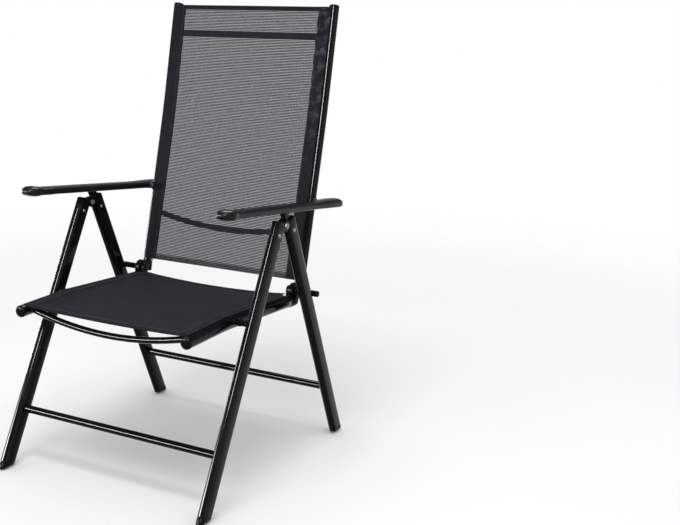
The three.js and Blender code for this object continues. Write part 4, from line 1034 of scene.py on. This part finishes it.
def rackMesh():
    pin = inFrame(catchSpot, armPivot, armTilt)
    tip, roof = pin[1] + horn["pin"] / 2 + rack["play"], arm["hollow"][1] - gap
    front, rear, low = pin[0] - rack["ahead"], pin[0] + rack["behind"], tip - rack["depth"]
    radius = rack["pitch"] / 2 - rack["toothHalf"]
    middles = pin[0] - np.arange(rack["notches"] - 1, -1, -1) * rack["pitch"]
    notches = [discOutline((middle, tip), radius, 13, np.pi, 0) for middle in middles]
    frontLug, rearLug = front + rack["lug"], rear - rack["lug"]
    start = [[front, roof], [front, low], [frontLug, low], [frontLug, tip]]
    end = [[rearLug, tip], [rearLug, low], [rear, low], [rear, roof]]
    inner = armX - arm["hollow"][0] + gap
    shell = plateShell(np.concatenate([start, *notches, end]), inner, inner + rack["width"], rack["edge"], 2)
    return settled(shell, armPivot, armTilt)


addPair("armNotchStrip", rackMesh(), plastic, "arm_left", "arm_rack")
washerRings = [(bore, 0), (arm["washer"] - 0.4, 0), (arm["washer"], 0.3)]
addPair("armWasherRing", bushShell(washerRings, backX + backRadius + gap, armFace - gap, armPivot, 48), zinc,
        "arm_washers", "arm_washer")
addPair("armPivotScrew", boltShell(backX - backRadius, bossEnd, armPivot, armBolt), zinc, "arm_bolts",
        "arm_pivot_bolt")
print("arms done")

# Stage: a pale floor that fades into a white room, one soft key light from above, and lights at the left, in
# front and overhead that draw the highlights on tubes and arms
stage = {"tints": ("#fafafa", "#ffffff"), "size": 4.0, "mottle": (500, 2), "fade": (3.4, 1.2), "room": 0.8,
         "dim": 0.15, "turn": -0.6, "sweep": (0.15, 0.7), "low": (0.24, 0.04), "right": (0.8, 0.95),
         "panel": 0.4}
lamps = [{"name": "softKey", "power": 42, "size": (1.7, 1.1), "spot": (0.4, -1.2, 3.6), "aim": (0, 0, 0.5)},
         {"name": "frontStrip", "power": 50, "size": (0.3, 0.9), "spot": (0.75, -2.45, 1.95),
          "aim": (0.23, 0.33, 0.85)},
         {"name": "leftStrip", "power": 22, "size": (0.2, 0.7), "spot": (-2.9, 0.1, 0.4), "aim": (0, 0, 0.4)},
         {"name": "topBox", "power": 40, "size": (1.6, 1.0), "spot": (-0.7, 1.6, 3.0), "aim": (0, 0, 0.6)},
         {"name": "lowBox", "power": 85, "size": (1.8, 0.3), "spot": (-1.8, -2.5, 0.9),
          "aim": (0, -0.1, 0.25)}]


# Painted floor: white with faint broad mottling, matt, and clear at its edges
def makeStage():
    mesh = bpy.data.meshes.new("floorSheet")
    corners = np.array([(-1, -1, 0), (1, -1, 0), (1, 1, 0), (-1, 1, 0)], float) * stage["size"]
    mesh.from_pydata(corners.tolist(), [], [(0, 1, 2, 3)])
    floor = addObject("floorSheet", mesh)
    floor.visible_glossy = False
    finish, tree = startFinish("paintedStudioFloor")
    where = placeIn(tree)
    tint = tinted(noise(where, *stage["mottle"]), stage)
    distance = addNode(tree, "VectorMath", {"operation": "LENGTH", 0: where}).outputs["Value"]
    fade = ranged(distance, *stage["fade"], kind="SMOOTHSTEP")
    mesh.materials.append(endFinish(finish, {"Base Color": tint, "Alpha": fade, "Roughness": 0.9,
                                             "Specular IOR Level": 0.0}))


# The room is white to the camera and a plain level to matt surfaces. Gloss sees the white sweep behind the
# chair and on its left, up to a little above the floor, a pale panel on its right, and elsewhere a dim room
def makeRoom():
    room = bpy.data.worlds.new("whiteRoom")
    scene.world = room
    room.use_nodes = True
    tree = room.node_tree
    tree.nodes.clear()
    rays = addNode(tree, "LightPath").outputs
    where = placeIn(tree)
    split = addNode(tree, "SeparateXYZ", {"Vector": where}).outputs
    turned = figured("MULTIPLY_ADD", split["X"], stage["turn"], split["Y"])
    sweep, low = ranged(turned, *stage["sweep"]), ranged(split["Z"], *stage["low"])
    white = figured("MULTIPLY", sweep, low)
    panel = ranged(split["X"], *stage["right"], 0.0, stage["panel"])
    shine = ranged(figured("MAXIMUM", white, panel), 0.0, 1.0, stage["dim"])
    clear = figured("MAXIMUM", rays["Is Glossy Ray"], rays["Is Transmission Ray"])
    level = addNode(tree, "Mix", {"data_type": "FLOAT", 0: clear, 2: stage["room"], 3: shine}).outputs[0]
    seen = addNode(tree, "Mix", {"data_type": "FLOAT", 0: rays["Is Camera Ray"], 2: level, 3: 1.0}).outputs[0]
    glow = addNode(tree, "Background", {"Color": (1, 1, 1, 1), "Strength": seen})
    addNode(tree, "OutputWorld", {"Surface": glow.outputs["Background"]})


def turnMatrix(right, up, away, spot):
    turn = np.eye(4)
    turn[:3] = np.column_stack([right, up, away, spot])
    return Matrix(turn.tolist())


# All lights but the key are seen in gloss alone, so that they draw highlights and leave the level as it is
def addLight(lamp):
    light = bpy.data.lights.new(lamp["name"], "AREA")
    light.energy = lamp["power"]
    light.shape = "RECTANGLE"
    light.size, light.size_y = lamp["size"]
    thing = addObject(lamp["name"], light)
    thing.visible_camera = False
    thing.visible_diffuse = lamp["name"] == "softKey"
    spot = np.array(lamp["spot"], float)
    away = unit(spot - np.array(lamp["aim"], float))
    right = unit(np.cross((0, 0, 1), away))
    thing.matrix_world = turnMatrix(right, np.cross(away, right), away, spot)


# Camera at the photo's angle: azimuth and elevation of the line of sight, a slight roll, and the fitted lens
view = {"azimuth": 27.87, "elevation": 13.42, "roll": 0.94, "lens": 55.46, "sensor": 36,
        "spot": (1.4817, -1.9817, 1.0599)}


def makeCamera():
    azimuth, elevation, roll = (math.radians(view[key]) for key in ("azimuth", "elevation", "roll"))
    away = np.array([math.sin(azimuth) * math.cos(elevation), -math.cos(azimuth) * math.cos(elevation),
                     math.sin(elevation)])
    right = np.array([math.cos(azimuth), math.sin(azimuth), 0])
    up = np.cross(away, right)
    lens = bpy.data.cameras.new("photoView")
    lens.lens = view["lens"]
    lens.sensor_width = view["sensor"]
    lens.sensor_fit = "HORIZONTAL"
    camera = addObject("photoView", lens)
    camera.matrix_world = turnMatrix(right * math.cos(roll) + up * math.sin(roll),
                                     up * math.cos(roll) - right * math.sin(roll), away, view["spot"])
    scene.camera = camera


makeStage()
makeRoom()
for lamp in lamps:
    addLight(lamp)
makeCamera()
scene.view_settings.view_transform = "Standard"
print("stage, light and camera set")
